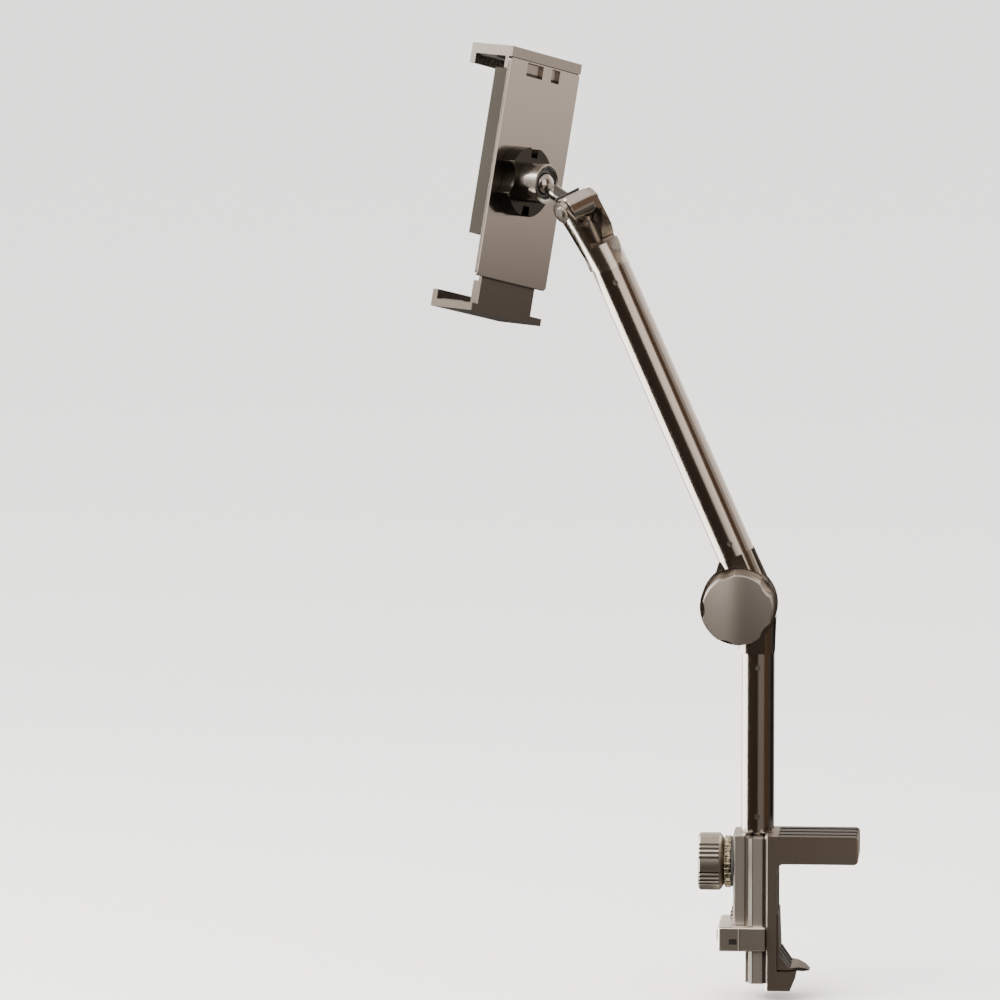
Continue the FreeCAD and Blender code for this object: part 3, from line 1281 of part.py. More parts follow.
def make_socket():
    """The ball's seat, the ring round it, the boss on the plate, the cap and the lobed nut."""
    seat_in = "(ball_radius + running_gap)"
    seat_out = "(ball_radius + running_gap + seat_wall)"
    ring_in = "(ball_radius + running_gap + seat_wall + shell_gap)"
    ring_out = "(ball_radius + running_gap + seat_wall + shell_gap + shell_wall)"
    room = "(ball_radius + running_gap + seat_wall + 2 * shell_gap + shell_wall)"
    shell("ball_seat", seat_in, seat_out, "seat_lip")
    shell("seat_ring", ring_in, ring_out, "seat_lip + ring_lip")
    plug = rod("boss_barrel", "z", "boss_radius", ("-ball_height", "-boss_top"))
    keep(cut("boss_cut", plug, ball("boss_room", room)), "socket_boss", HOLDER_FRAME)
    thread_radius = "boss_radius + running_gap"
    low = "(-ball_height + body_gap + lobe_height)"
    barrel = rod("cap_barrel", "z", "cap_radius", (low, "cap_top"))
    thread = rod("cap_thread", "z", thread_radius, (low + " - past", "-boss_top + shell_gap"))
    mouth = cone("cap_mouth", "z", ("cap_radius - mouth_inner", "cap_radius - mouth_outer"),
            ("lip_height", "cap_top + mouth_past"))
    keep(cut("cap_cut", barrel, ball("cap_room", room), thread, mouth), "socket_cap", HOLDER_FRAME)
    body = new_body("lobed_nut_body")
    start = "(-ball_height + body_gap)"
    pad(body, circle(body, "nut_round", "XY_Plane", "lobe_radius", lift=start), "lobe_height")
    slot = [
        ("-lobe_slot / 2", "lobe_core"), ("lobe_slot / 2", "lobe_core"),
        ("lobe_slot / 2 + past", "lobe_radius + 2 * past"), ("-lobe_slot / 2 - past",
                "lobe_radius + 2 * past"),
    ]
    gap = pocket(body, outline(body, "lobe_gap", "XY_Plane", slot, low), "lobe_height")
    repeat_round(body, gap, "Z_Axis", "lobe_slots")
    centre = ("side_scallop_floor + side_scallop_radius", "0")
    side = pocket(body, circle(body, "side_scallop", "XY_Plane", "side_scallop_radius", centre, low),
            "lobe_height")
    repeat_round(body, side, "Z_Axis", "side_scallops")
    hole = circle(body, "nut_thread", "XY_Plane", thread_radius, lift=low)
    pocket(body, hole, "lobe_height")
    soften(body, "lobe_corner", lambda p,
            d: abs(d.z) > 0.9 and math.hypot(p.x, p.y) > mm("lobe_radius") - 1)
    return keep(body, "lobed_nut", HOLDER_FRAME)


make_end_fork()
make_fork_fasteners()
make_knuckle()
make_end_plate()
make_ball_stem()
make_socket()

PLATE_LEFT = "(plate_shift_x - plate_width / 2)"
PLATE_RIGHT = "(plate_shift_x + plate_width / 2)"
PLATE_TOP = "(plate_shift_y + plate_height / 2)"
PLATE_LOW = "(plate_shift_y - plate_height / 2)"
PLATE_FACE = "(-ball_height)"
PLATE_BACK = "(-ball_height - plate_thickness)"
CASE_LEFT = "(plate_shift_x - case_width / 2)"
CASE_RIGHT = "(plate_shift_x + case_width / 2)"
CASE_TOP = "(%s - case_top_inset)" % PLATE_TOP
CASE_LOW = "(%s - case_top_inset - case_height)" % PLATE_TOP
CASE_BACK = "(-ball_height - plate_thickness - case_depth)"
GRIP_END = "(-ball_height - holder_jaw_reach)"
BOTTOM_EDGE = "(%s - jaw_open)" % PLATE_LOW


def make_back_plate():
    """The thin face plate with two windows near its top edge."""
    body = new_body("back_plate_body")
    sheet_outline = [(PLATE_LEFT, PLATE_LOW), (PLATE_RIGHT, PLATE_LOW), (PLATE_RIGHT, PLATE_TOP),
            (PLATE_LEFT, PLATE_TOP)]
    pad(body, outline(body, "plate_face", "XY_Plane", sheet_outline, PLATE_BACK), "plate_thickness")
    soften(body, "plate_corner", lambda p, d: abs(d.z) > 0.9)
    soften(body, "plate_edge", lambda p, d: p.z > -mm("ball_height") - 0.1, "Chamfer")
    low = "(%s - window_edge - window_height)" % PLATE_TOP
    high = "(%s - window_edge)" % PLATE_TOP
    first = "(%s + window_left)" % PLATE_LEFT
    second = "(%s + window_left + window_wide + window_gap)" % PLATE_LEFT
    depth = (PLATE_BACK + " - past", PLATE_FACE + " + past")
    wide = block("window_one", (first, first + " + window_wide"), (low, high), depth)
    narrow = block("window_two", (second, second + " + window_narrow"), (low, high), depth)
    return keep(cut("back_plate_cut", body, wide, narrow), "back_plate", HOLDER_FRAME)


def make_case():
    """The inner case behind the plate: an open tray with a slot at the bottom for the slide."""
    shell_block = block("case_block", (CASE_LEFT, CASE_RIGHT), (CASE_LOW, CASE_TOP),
            (CASE_BACK, PLATE_BACK))
    hollow = block("case_hollow", (CASE_LEFT + " + case_wall", CASE_RIGHT + " - case_wall"),
                   (CASE_LOW + " + case_wall", CASE_TOP + " - case_wall"), (CASE_BACK + " + case_wall",
                           PLATE_BACK + " + past"))
    slot = block("case_slot", ("plate_shift_x - block_width / 2 - body_gap",
            "plate_shift_x + block_width / 2 + body_gap"),
                 (CASE_LOW + " - past",
                         CASE_LOW + " + case_wall + past"),
                         (PLATE_BACK + " - block_depth - 2 * body_gap", PLATE_BACK + " + past"))
    return keep(cut("case_cut", shell_block, hollow, slot), "inner_case", HOLDER_FRAME)


def make_top_jaw():
    """The fixed jaw on the plate's top edge, with its lip and the short leg at the left."""
    bar = block("top_bar", (PLATE_LEFT, PLATE_RIGHT), (PLATE_TOP, PLATE_TOP + " + jaw_bar"),
            (GRIP_END, PLATE_FACE))
    lip = block("top_lip", (PLATE_LEFT, PLATE_RIGHT), (PLATE_TOP + " - lip_rise", PLATE_TOP),
                (GRIP_END, GRIP_END + " + jaw_lip"))
    leg = block("top_leg", (PLATE_LEFT, PLATE_RIGHT), (CASE_TOP, PLATE_TOP),
            (PLATE_BACK + " - leg_depth", PLATE_BACK))
    hollow = block("top_hollow", (PLATE_LEFT + " + jaw_end_wall", PLATE_RIGHT + " - jaw_end_wall"),
            (PLATE_TOP + " + jaw_floor", PLATE_TOP + " + jaw_bar - jaw_skin"),
                   (GRIP_END + " + jaw_front_wall", PLATE_FACE + " - jaw_end_wall"))
    return keep(cut("top_jaw_cut", join("top_jaw_whole", bar, lip, leg), hollow), "top_jaw", HOLDER_FRAME)


def make_bottom_jaw():
    """The sliding jaw: a slide in the case, a stem below the plate, the bar with its lip."""
    slide = block("slide_sheet", ("plate_shift_x - slide_width / 2", "plate_shift_x + slide_width / 2"),
                  (BOTTOM_EDGE, PLATE_LOW + " + slide_length"),
                  (PLATE_BACK + " - body_gap - slide_thickness", PLATE_BACK + " - body_gap"))
    carriage = block("slide_block", ("plate_shift_x - block_width / 2", "plate_shift_x + block_width / 2"),
                     (BOTTOM_EDGE, CASE_LOW + " + case_wall + block_rise"),
                     (PLATE_BACK + " - body_gap - block_depth", PLATE_BACK + " - body_gap"))
    relief = block("slide_relief",
            ("plate_shift_x - slide_width / 2 - relief_reach",
            "plate_shift_x + slide_width / 2 + relief_reach"),
                   (PLATE_LOW + " - relief_low",
                           CASE_LOW + " - relief_high"),
                           (PLATE_BACK + " - body_gap - block_depth - past",
                           PLATE_BACK + " - body_gap - slide_thickness"))
    bar = block("bottom_bar_block", (PLATE_LEFT, PLATE_RIGHT),
            (BOTTOM_EDGE + " - bottom_bar", BOTTOM_EDGE), (GRIP_END, PLATE_FACE))
    lip = block("bottom_lip", (PLATE_LEFT, PLATE_RIGHT), (BOTTOM_EDGE, BOTTOM_EDGE + " + lip_rise"),
            (GRIP_END, GRIP_END + " + jaw_lip"))
    whole = join("bottom_jaw_whole", cut("slide_part", carriage, relief), slide, bar, lip)
    return keep(whole, "bottom_jaw", HOLDER_FRAME)


def make_holder_small_parts():
    """The rubber pads on the two jaws."""
    span = (PLATE_LEFT + " + grip_pad_inset", PLATE_RIGHT + " - grip_pad_inset")
    top_pad = block("top_pad_block", span, (PLATE_TOP + " - grip_pad", PLATE_TOP),
            ("%s + jaw_lip + past" % GRIP_END, CASE_BACK + " - past"))
    keep(meet("top_pad_trim", top_pad,
            block("top_pad_bounds", ("-plate_height", "plate_height"),
            ("-plate_height", "plate_height"), ("-plate_height", "0"))), "top_grip_pad", HOLDER_FRAME)
    low_pad = block("low_pad_block", span, (BOTTOM_EDGE, BOTTOM_EDGE + " + grip_pad"),
            ("%s + jaw_lip + past" % GRIP_END, PLATE_BACK + " - block_depth - 2 * past"))
    keep(meet("low_pad_trim", low_pad,
            block("low_pad_bounds", ("-plate_height", "plate_height"),
            ("-plate_height", "plate_height"), ("-plate_height",
            "0"))), "bottom_grip_pad", HOLDER_FRAME)


make_back_plate()
make_case()
make_top_jaw()
make_bottom_jaw()
make_holder_small_parts()


doc.recompute()
os.makedirs("parts", exist_ok=True)
for thing in doc.Objects:
    if "Invalid" in thing.State or "Error" in thing.State:
        raise ValueError("%s failed" % thing.Name)
for piece in pieces:
    shape = piece.Shape
    if shape.isNull() or not shape.isValid() or not shape.Solids:
        raise ValueError("%s has no sound solid" % piece.Label)
    box = shape.BoundBox
    print("%s %d solids %.1f mm3 x %.1f %.1f y %.1f %.1f z %.1f %.1f" % (
        piece.Label, len(shape.Solids), shape.Volume, box.XMin, box.XMax, box.YMin, box.YMax, box.ZMin, box.ZMax))
for piece in pieces:
    piece.Shape.exportStep(os.path.join("parts", piece.Label + ".step"))
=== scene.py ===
"""Looks, light and camera for the clamp tablet arm mount. Lengths are in metres, in the part's own frame."""

import json
import math

import bpy
import numpy as np
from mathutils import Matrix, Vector


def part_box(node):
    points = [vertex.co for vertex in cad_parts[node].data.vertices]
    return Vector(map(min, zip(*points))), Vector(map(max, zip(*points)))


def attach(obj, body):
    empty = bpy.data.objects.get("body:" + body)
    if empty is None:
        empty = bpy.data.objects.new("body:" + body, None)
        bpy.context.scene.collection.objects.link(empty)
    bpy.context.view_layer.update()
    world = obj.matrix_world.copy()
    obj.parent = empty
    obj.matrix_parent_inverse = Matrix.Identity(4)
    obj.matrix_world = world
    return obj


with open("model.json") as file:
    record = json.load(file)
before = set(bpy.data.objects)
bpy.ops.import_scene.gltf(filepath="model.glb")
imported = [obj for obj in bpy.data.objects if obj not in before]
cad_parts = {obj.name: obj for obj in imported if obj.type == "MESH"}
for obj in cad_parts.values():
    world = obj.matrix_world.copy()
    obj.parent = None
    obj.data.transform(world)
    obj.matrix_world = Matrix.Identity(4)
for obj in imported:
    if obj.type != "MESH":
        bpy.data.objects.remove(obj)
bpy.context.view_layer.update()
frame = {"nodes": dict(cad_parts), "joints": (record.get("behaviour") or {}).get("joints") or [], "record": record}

# Camera, with its lens and sensor in millimetres
CAMERA_AIM = Vector((-0.23033, 0.01635, 0.2563))
CAMERA_AZIMUTH = math.radians(4.0)
CAMERA_ELEVATION = math.radians(7.2)
CAMERA_DISTANCE = 6.7
CAMERA_LENS = 336.2
CAMERA_SENSOR = 36.0
CAMERA_REACH = 60.0

# Hinge, ball, elbow and plate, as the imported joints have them
JOINTS = {joint["name"]: joint for joint in frame["joints"]}
HINGE_PLACE = Vector(JOINTS["knuckle_tilt"]["pos_m"])
HINGE_AXIS = Vector(JOINTS["knuckle_tilt"]["axis"]).normalized()
BALL_CENTRE = Vector(JOINTS["ball_tilt"]["pos_m"])
ELBOW_CENTRE = Vector(JOINTS["elbow_bend"]["pos_m"])
PLATE_WAY = Vector(JOINTS["grip_slide"]["axis"])
ARM_WAY = Vector((-0.395546, 0.0, 0.918446))
UP = Vector((0.0, 0.0, 1.0))

# The knuckle's round heel, about the fork's hinge
HEEL_RADIUS = 0.011
HEEL_BORE = 0.0032
HEEL_LENGTH = 0.0192
HEEL_ARC = math.radians(95)
HEEL_STEPS = 36
SHARP_ANGLE = math.radians(40)

# Patterns: the scale, detail and roughness of a noise
SPECKLE = (2600.0, 3.0, 0.6)
DRAWN_GRAIN = (1.0, 2.0, 0.5)
CLOUD = (14.0, 2.0, 0.5)
TOOL_MARKS = (3200.0, 2.0, 0.5)
STEEL_CLOUD = (60.0, 2.0, 0.5)
BRASS_CLOUD = (420.0, 3.0, 0.65)
RUBBER_GRAIN = (1900.0, 3.0, 0.6)
GRAIN_STRETCH = (1800.0, 1800.0, 25.0)

# Depths of the bumps that the patterns raise
SKIN_DEPTH = 0.00002
BRASS_DEPTH = 0.0001
RUBBER_DEPTH = 0.00005

# Anodised skin: shares of speckle and cloud in its tone, the range of tone that shows, and how far it swings
SPECKLE_SHARE = 0.25
CLOUD_SHARE = 0.4
TONE_RANGE = (0.25, 0.75)
TONE_SWING = 0.05
ROUGHNESS_SWING = 0.05
SKIN_RELIEF = 0.035

# Painted shade in recesses and along shaded edges: how much of the skin it covers, and how dark it is
RECESS_COVER = 0.8
RECESS_SHADE = 0.12

# Turned steel
STEEL_SWING = 0.08
STEEL_RELIEF = 0.1

# The elbow knob's face, shaded as if its height were DISH x x - CROWN z z about its axis, each per metre
ELBOW_DISH = 8.0
ELBOW_CROWN = 1.0

# Colour of the painted highlights on edges and bright lines
PAINTED_HIGHLIGHT = (0.88, 0.82, 0.74)
BRASS_DARK = (0.10, 0.085, 0.06)
BRASS_LIGHT = (0.66, 0.58, 0.44)

# Floor and sky
FLOOR_HEIGHT = -0.1
FLOOR_HALF = 14.0
FLOOR_PAINT = (0.86, 0.85, 0.84)
FLOOR_ROUGHNESS = 0.9
SKY_COLOUR = (1.0, 0.985, 0.965, 1.0)
SKY_STRENGTH = 2.4

# Curved walls of reflectors round the object
WALL_CENTRE = np.array((-0.12, 0.0, 0.0))
WALL_RADIUS = 1.6
WALL_LOW = -1.0
WALL_HIGH = 1.9
WALL_STEP = 6.0
WARM_WHITE = (1.0, 0.96, 0.9)
SOFT_BROWN = (1.0, 0.9, 0.82)
DARK_BROWN = (1.0, 0.72, 0.52)
DEEP_BROWN = (1.0, 0.6, 0.34)
GLOW_HEIGHTS = (0.02, 0.46)
PLATE_GLOW_HEIGHTS = (0.11, 0.36)
TOP_GLOW_HEIGHTS = (0.3, 0.7)

# Each wall's name, start and end in degrees from the front, colour, glow at its foot and top, and the heights
# between which the glow changes
WALLS = (
    ("left box reflector", -145, -80, WARM_WHITE, 8.0, 9.0, GLOW_HEIGHTS),
    ("front left dark", -80, 5, DARK_BROWN, 0.05, 0.07, GLOW_HEIGHTS),
    ("front light strip", 5, 46, SOFT_BROWN, 0.3, 2.1, GLOW_HEIGHTS),
    ("front right dark", 46, 76, DEEP_BROWN, 0.14, 0.14, GLOW_HEIGHTS),
    ("right reflector", 76, 100, SOFT_BROWN, 0.1, 0.6, GLOW_HEIGHTS),
    ("right back reflector", 100, 135, SOFT_BROWN, 0.02, 1.5, PLATE_GLOW_HEIGHTS),
    ("back right reflector", 135, 158, WARM_WHITE, 0.5, 2.2, GLOW_HEIGHTS),
    ("back gap", 158, 194, SOFT_BROWN, 0.08, 2.0, TOP_GLOW_HEIGHTS),
    ("back left reflector", 194, 215, WARM_WHITE, 0.5, 2.2, GLOW_HEIGHTS),
)

# Each lid's name, height and glow
LIDS = (
    ("ceiling reflector", WALL_HIGH, 0.9),
    ("under reflector", WALL_LOW, 0.25),
)

# Each lamp's name, place, width and height, power in watts and colour
LAMP_TARGET = Vector((-0.12, 0.0, 0.25))
LAMPS = (
    ("front high box", (-1.3, -2.0, 1.9), (1.4, 0.9), 90, (1.0, 0.97, 0.93)),
    ("left box", (-2.0, -0.9, 1.5), (1.2, 1.8), 60, (1.0, 0.97, 0.92)),
    ("top box", (0.0, -0.4, 2.6), (1.8, 1.4), 45, (1.0, 0.98, 0.95)),
)


class Field:
    """A value, colour or place in a shader; arithmetic on a value adds the maths nodes."""

    def __init__(self, paint, socket):
        self.paint = paint
        self.socket = socket

    def maths(self, operation, *others):
        """A maths node on this value and the others, in order."""
        sockets = dict(enumerate((self,) + others))
        node = self.paint.node("ShaderNodeMath", {"operation": operation}, sockets)
        return Field(self.paint, node.outputs[0])

    def __add__(self, other):
        return self.maths("ADD", other)

    def __sub__(self, other):
        return self.maths("SUBTRACT", other)

    def __mul__(self, other):
        return self.maths("MULTIPLY", other)

    def __rsub__(self, other):
        return (self * -1.0) + other

    __radd__ = __add__
    __rmul__ = __mul__

    def below(self, level):
        return self.maths("LESS_THAN", level)

    def at_most(self, level):
        return self.maths("MINIMUM", level)

    def size(self):
        return self.maths("ABSOLUTE")

    def spread(self, low, high):
        """Stretch low..high to 0..1, held at both ends."""
        node = self.paint.node("ShaderNodeMapRange", {}, {"Value": self, "From Min": low, "From Max": high})
        return Field(self.paint, node.outputs["Result"])


class Paint:
    """One material's shader, built on the object's own coordinates."""

    def __init__(self, name, colour, metallic, roughness):
        self.material = bpy.data.materials.new(name)
        self.material.use_nodes = True
        self.tree = self.material.node_tree
        self.surface = self.tree.nodes["Principled BSDF"]
        self.set("Base Color", opaque(colour))
        self.set("Metallic", metallic)
        self.set("Roughness", roughness)
        self.place = Field(self, self.node("ShaderNodeTexCoord", {}, {}).outputs["Object"])
        self.split = self.node("ShaderNodeSeparateXYZ", {}, {"Vector": self.place})

    def node(self, kind, settings, sockets):
        """A new node with its settings, and then a value or a link for each of its named sockets."""
        node = self.tree.nodes.new(kind)
        for name, value in settings.items():
            setattr(node, name, value)
        for name, value in sockets.items():
            self.feed(node.inputs[name], value)
        return node

    def feed(self, socket, value):
        if isinstance(value, Field):
            self.tree.links.new(value.socket, socket)
        else:
            socket.default_value = value

    def set(self, name, value):
        self.feed(self.surface.inputs[name], value)

    def axis(self, letter):
        return Field(self, self.split.outputs[letter])

    def near(self, *bands):
        """1 where each coordinate is within reach of its place, else 0. A band is (letter, place, reach)."""
        inside = None
        for letter, place, reach in bands:
            band = (self.axis(letter) - place).size().below(reach)
            inside = band if inside is None else inside * band
        return inside

    def turned(self, direction, stretch):
        """The place scaled along the axes, after turning direction onto Z."""
        turn = direction.rotation_difference(UP).to_euler()
        sockets = {"Vector": self.place, "Rotation": turn, "Scale": stretch}
        return Field(self, self.node("ShaderNodeMapping", {}, sockets).outputs["Vector"])

    def noise(self, pattern, place=None):
        """A cloudy field of 0 to 1 from a pattern's scale, detail and roughness."""
        sockets = dict(zip(("Scale", "Detail", "Roughness"), pattern), Vector=place or self.place)
        return Field(self, self.node("ShaderNodeTexNoise", {}, sockets).outputs[0])

    def mix(self, factor, first, second):
        """A colour between two, by a factor of 0 to 1."""
        sockets = {"Factor": factor, "A": opaque(first), "B": opaque(second)}
        return Field(self, self.node("ShaderNodeMix", {"data_type": "RGBA"}, sockets).outputs["Result"])

    def relief(self, height, strength, depth):
        """A bump from a height field, on top of any bump already there."""
        normal = self.surface.inputs["Normal"]
        sockets = {"Strength": strength, "Distance": depth, "Height": height}
        for link in normal.links:
            sockets["Normal"] = Field(self, link.from_socket)
        self.feed(normal, Field(self, self.node("ShaderNodeBump", {}, sockets).outputs["Normal"]))


def opaque(colour):
    """A colour's three channels with full alpha; a field stays as it is."""
    return colour if isinstance(colour, Field) else tuple(colour) + (1.0,)


def shade(colour, amount):
    return tuple(channel * amount for channel in colour)


def anodised(name, colour, roughness, grain_way=UP, grain=0.35, bright=(), dark=(), edges=()):
    """Bead-blasted and dyed aluminium: a fine speckle, a faint drawn grain and slow changes of tone.

    bright and dark are lists of places: painted highlights along lines, and painted shade in recesses and on
    shaded edges.
    edges are chamfers, each tilted by a bump and given a painted highlight: (letter, place, inward way, width,
    lean).
    """
    paint = Paint(name, colour, 1.0, roughness)
    speckle = paint.noise(SPECKLE)
    drawn = paint.noise(DRAWN_GRAIN, paint.turned(grain_way, GRAIN_STRETCH))
    cloud = paint.noise(CLOUD)
    tone = speckle * SPECKLE_SHARE + drawn * grain + cloud * CLOUD_SHARE
    skin = paint.mix(tone.spread(*TONE_RANGE), shade(colour, 1 - TONE_SWING), shade(colour, 1 + TONE_SWING))
    # Painted shade over the dark places, then painted highlights along the bright lines
    for bands in dark:
        skin = paint.mix(paint.near(*bands) * RECESS_COVER, skin, shade(colour, RECESS_SHADE))
    for bands in bright:
        skin = paint.mix(paint.near(*bands), skin, PAINTED_HIGHLIGHT)
    paint.relief(speckle * 0.6 + drawn * grain, SKIN_RELIEF, SKIN_DEPTH)
    # Each edge is tilted by a bump and given a painted highlight
    for letter, place, way, width, lean in edges:
        inward = (paint.axis(letter) - place) * way
        skin = paint.mix(inward.below(width), skin, PAINTED_HIGHLIGHT)
        paint.relief(inward.at_most(width), 1.0, lean)
    paint.set("Base Color", skin)
    paint.set("Roughness", drawn * 0.02 + speckle * 0.03 + cloud * 0.05 + (roughness - ROUGHNESS_SWING))
    return paint.material


def machined(name, colour, roughness):
    """Turned steel with fine tool marks."""
    paint = Paint(name, colour, 1.0, roughness)
    marks = paint.noise(TOOL_MARKS)
    cloud = paint.noise(STEEL_CLOUD)
    paint.set("Base Color", paint.mix(cloud, shade(colour, 0.85), shade(colour, 1.1)))
    paint.set("Roughness", marks * STEEL_SWING + cloud * STEEL_SWING + (roughness - STEEL_SWING))
    paint.relief(marks, STEEL_RELIEF, SKIN_DEPTH)
    return paint.material


def mottled_brass(name, colour):
    """Dark gold with a clouded, slightly worn skin."""
    paint = Paint(name, colour, 1.0, 0.3)
    cloud = paint.noise(BRASS_CLOUD)
    paint.set("Base Color", paint.mix(cloud.spread(0.38, 0.62), BRASS_DARK, BRASS_LIGHT))
    paint.set("Roughness", cloud * 0.25 + 0.15)
    paint.relief(cloud, 0.2, BRASS_DEPTH)
    return paint.material


def rubber(name, colour):
    """Soft matte rubber with a moulded grain."""
    paint = Paint(name, colour, 0.0, 0.75)
    grain = paint.noise(RUBBER_GRAIN)
    paint.set("Base Color", paint.mix(grain, shade(colour, 0.8), shade(colour, 1.3)))
    paint.set("Roughness", grain * 0.2 + 0.62)
    paint.relief(grain, 0.25, RUBBER_DEPTH)
    return paint.material


def frame_skin():
    """The clamp's frame: painted highlights, over bumps, on its two end edges, and painted shade on the floors of
    its grip grooves.
    """
    low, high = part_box("clamp_frame")
    # Painted shade on the floors of the grip grooves
    groove_floor_shade = [("X", 0.0, 0.0285), ("Y", 0.0, 0.0236), ("Z", 0.0194, 0.0013)]
    return anodised("frame skin", (0.28, 0.235, 0.195), 0.34, grain=0.1, edges=[
        ("X", low.x, 1, 0.0016, 1.05),
        ("X", high.x, -1, 0.0010, 0.7),
    ], dark=[groove_floor_shade])


def column_skin():
    """The screw's column, with painted shade beside its rounded corner and along its joint with the frame."""
    low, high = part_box("screw_column")
    # Painted shade beside the rounded corner and along the joint with the frame
    corner_end = low.x + 0.0040
    frame_joint = high.x - 0.0009
    return anodised("column edge skin", (0.46, 0.42, 0.38), 0.42, dark=[
        [("X", corner_end, 0.0015)],
        [("X", frame_joint, 0.0010)],
    ])


def cover_skin():
    """The gear cover, with painted shade along both its edges."""
    low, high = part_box("gear_cover")
    # Painted shade along both edges
    return anodised("cover skin", (0.45, 0.405, 0.365), 0.4, dark=[
        [("X", low.x, 0.0010)],
        [("X", high.x, 0.0008)],
    ])


def band_skin():
    """The retaining band: painted highlights, over bumps, on its edges, and on its front a seam drawn in painted
    shade with a painted highlight on its lip, and a small catch slot painted as a patch of shade.
    """
    low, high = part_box("retaining_band")
    front = ("Y", low.y, 0.002)
    # Painted shade along the seam and as a flat catch slot, and a painted highlight on the seam's lip
    seam = ("X", -0.0554, 0.0003)
    seam_lip_highlight = ("X", -0.0562, 0.0005)
    catch_slot_shade = [("X", -0.0603, 0.0028), ("Z", -0.0555, 0.0020)]
    return anodised("band skin", (0.36, 0.325, 0.29), 0.38, edges=[
        ("Z", high.z, -1, 0.0010, 0.6),
        ("Z", low.z, 1, 0.0010, 0.4),
        ("X", low.x, 1, 0.0010, 1.0),
    ], bright=[[seam_lip_highlight, front]], dark=[[seam, front], [front] + catch_slot_shade])


def fork_skin():
    """The fork at the arm's end, with painted shade in the hollow between its walls."""
    # Painted shade in the hollow between the walls
    hollow = [("X", -0.1660, 0.0095), ("Y", 0.0015, 0.0078), ("Z", 0.4555, 0.0130)]
    return anodised("fork skin", (0.54, 0.495, 0.44), 0.2, ARM_WAY, 0.2, dark=[hollow])


def stem_skin():
    """The ball's stem, dark where the knuckle shades it."""
    foot = [("X", -0.1810, 0.0105)]
    return anodised("stem skin", (0.44, 0.41, 0.37), 0.16, dark=[foot])


def elbow_knob_skin():
    """The elbow's knob: a face that mirrors the walls as a dish does across and a slight crown does up."""
    colour = (0.50, 0.455, 0.41)
    paint = Paint("elbow knob skin", colour, 1.0, 0.32)
    cloud = paint.noise(CLOUD)
    across = paint.axis("X") - ELBOW_CENTRE.x
    up = paint.axis("Z") - ELBOW_CENTRE.z
    paint.set("Base Color", paint.mix(cloud, shade(colour, 0.96), shade(colour, 1.04)))
    paint.relief(across * across * ELBOW_DISH - up * up * ELBOW_CROWN, 1.0, 1.0)
    return paint.material


def clamp_knob_skin():
    """The clamp's knob: painted shade in the flutes, where it is within its rim and between its two end rings."""
    colour = (0.42, 0.38, 0.335)
    height = JOINTS["knob_turn"]["pos_m"][2]
    rim = 0.0202
    start = -0.0855
    end = -0.0705
    paint = Paint("clamp knob skin", colour, 1.0, 0.3)
    side = paint.axis("Y")
    up = paint.axis("Z") - height
    shaded_within_rim = (side * side + up * up).below(rim * rim)
    shaded_flute_span = paint.near(("X", (start + end) / 2, (end - start) / 2))
    skin = paint.mix(paint.noise(CLOUD), shade(colour, 0.95), shade(colour, 1.05))
    # Painted shade in the flutes
    paint.set("Base Color", paint.mix(shaded_within_rim * shaded_flute_span, skin, shade(colour, 0.2)))
    return paint.material


# Finishes by the record's material slot
MATERIALS = {
    "clamp_metal": anodised("clamp skin", (0.28, 0.235, 0.195), 0.33),
    "column_metal": anodised("column skin", (0.48, 0.435, 0.395), 0.42),
    "latch_metal": anodised("latch skin", (0.38, 0.345, 0.31), 0.38),
    "jaw_rubber": rubber("jaw rubber", (0.035, 0.028, 0.024)),
    "screw_steel": machined("screw steel", (0.42, 0.39, 0.36), 0.25),
    "gear_steel": machined("gear steel", (0.40, 0.39, 0.37), 0.3),
    "brass": mottled_brass("ring brass", (0.72, 0.50, 0.22)),
    "bush_bronze": machined("bush bronze", (0.55, 0.38, 0.20), 0.3),
    "washer_black": rubber("washer black", (0.02, 0.02, 0.02)),
    "knob_metal": anodised("knob skin", (0.5, 0.455, 0.41), 0.38),
    "insert_steel": anodised("insert skin", (0.31, 0.29, 0.27), 0.36),
    "tube_metal": anodised("tube skin", (0.42, 0.37, 0.33), 0.17, ARM_WAY, 0.2),
    "joint_metal": anodised("joint skin", (0.37, 0.33, 0.29), 0.16, ARM_WAY, 0.2),
    "head_metal": machined("head steel", (0.44, 0.41, 0.37), 0.2),
    "seat_plastic": rubber("seat plastic", (0.06, 0.055, 0.05)),
    "nut_metal": anodised("nut skin", (0.042, 0.038, 0.032), 0.2),
    "plate_metal": anodised("plate skin", (0.38, 0.337, 0.305), 0.19, PLATE_WAY),
    "case_metal": anodised("case skin", (0.055, 0.05, 0.043), 0.3, PLATE_WAY),
    "grip_rubber": rubber("grip rubber", (0.05, 0.042, 0.036)),
}

# Finishes of the pieces whose tone departs from the rest of their slot
PIECE_MATERIALS = {
    "clamp_frame": frame_skin(),
    "screw_column": column_skin(),
    "gear_cover": cover_skin(),
    "retaining_band": band_skin(),
    "clamp_knob": clamp_knob_skin(),
    "elbow_knob": elbow_knob_skin(),
    "end_fork": fork_skin(),
    "knuckle": anodised("knuckle skin", (0.64, 0.59, 0.53), 0.17, ARM_WAY, 0.2),
    "ball_stem": stem_skin(),
    "socket_cap": anodised("cap skin", (0.42, 0.39, 0.35), 0.2),
    "top_jaw": anodised("top jaw skin", (0.3, 0.265, 0.235), 0.28, PLATE_WAY),
    # The bottom jaw's tone, darker than the top jaw's: partly its own colour, partly painted shade for its faces
    # that look down
    "bottom_jaw": anodised("bottom jaw skin", (0.15, 0.128, 0.11), 0.32, PLATE_WAY),
}


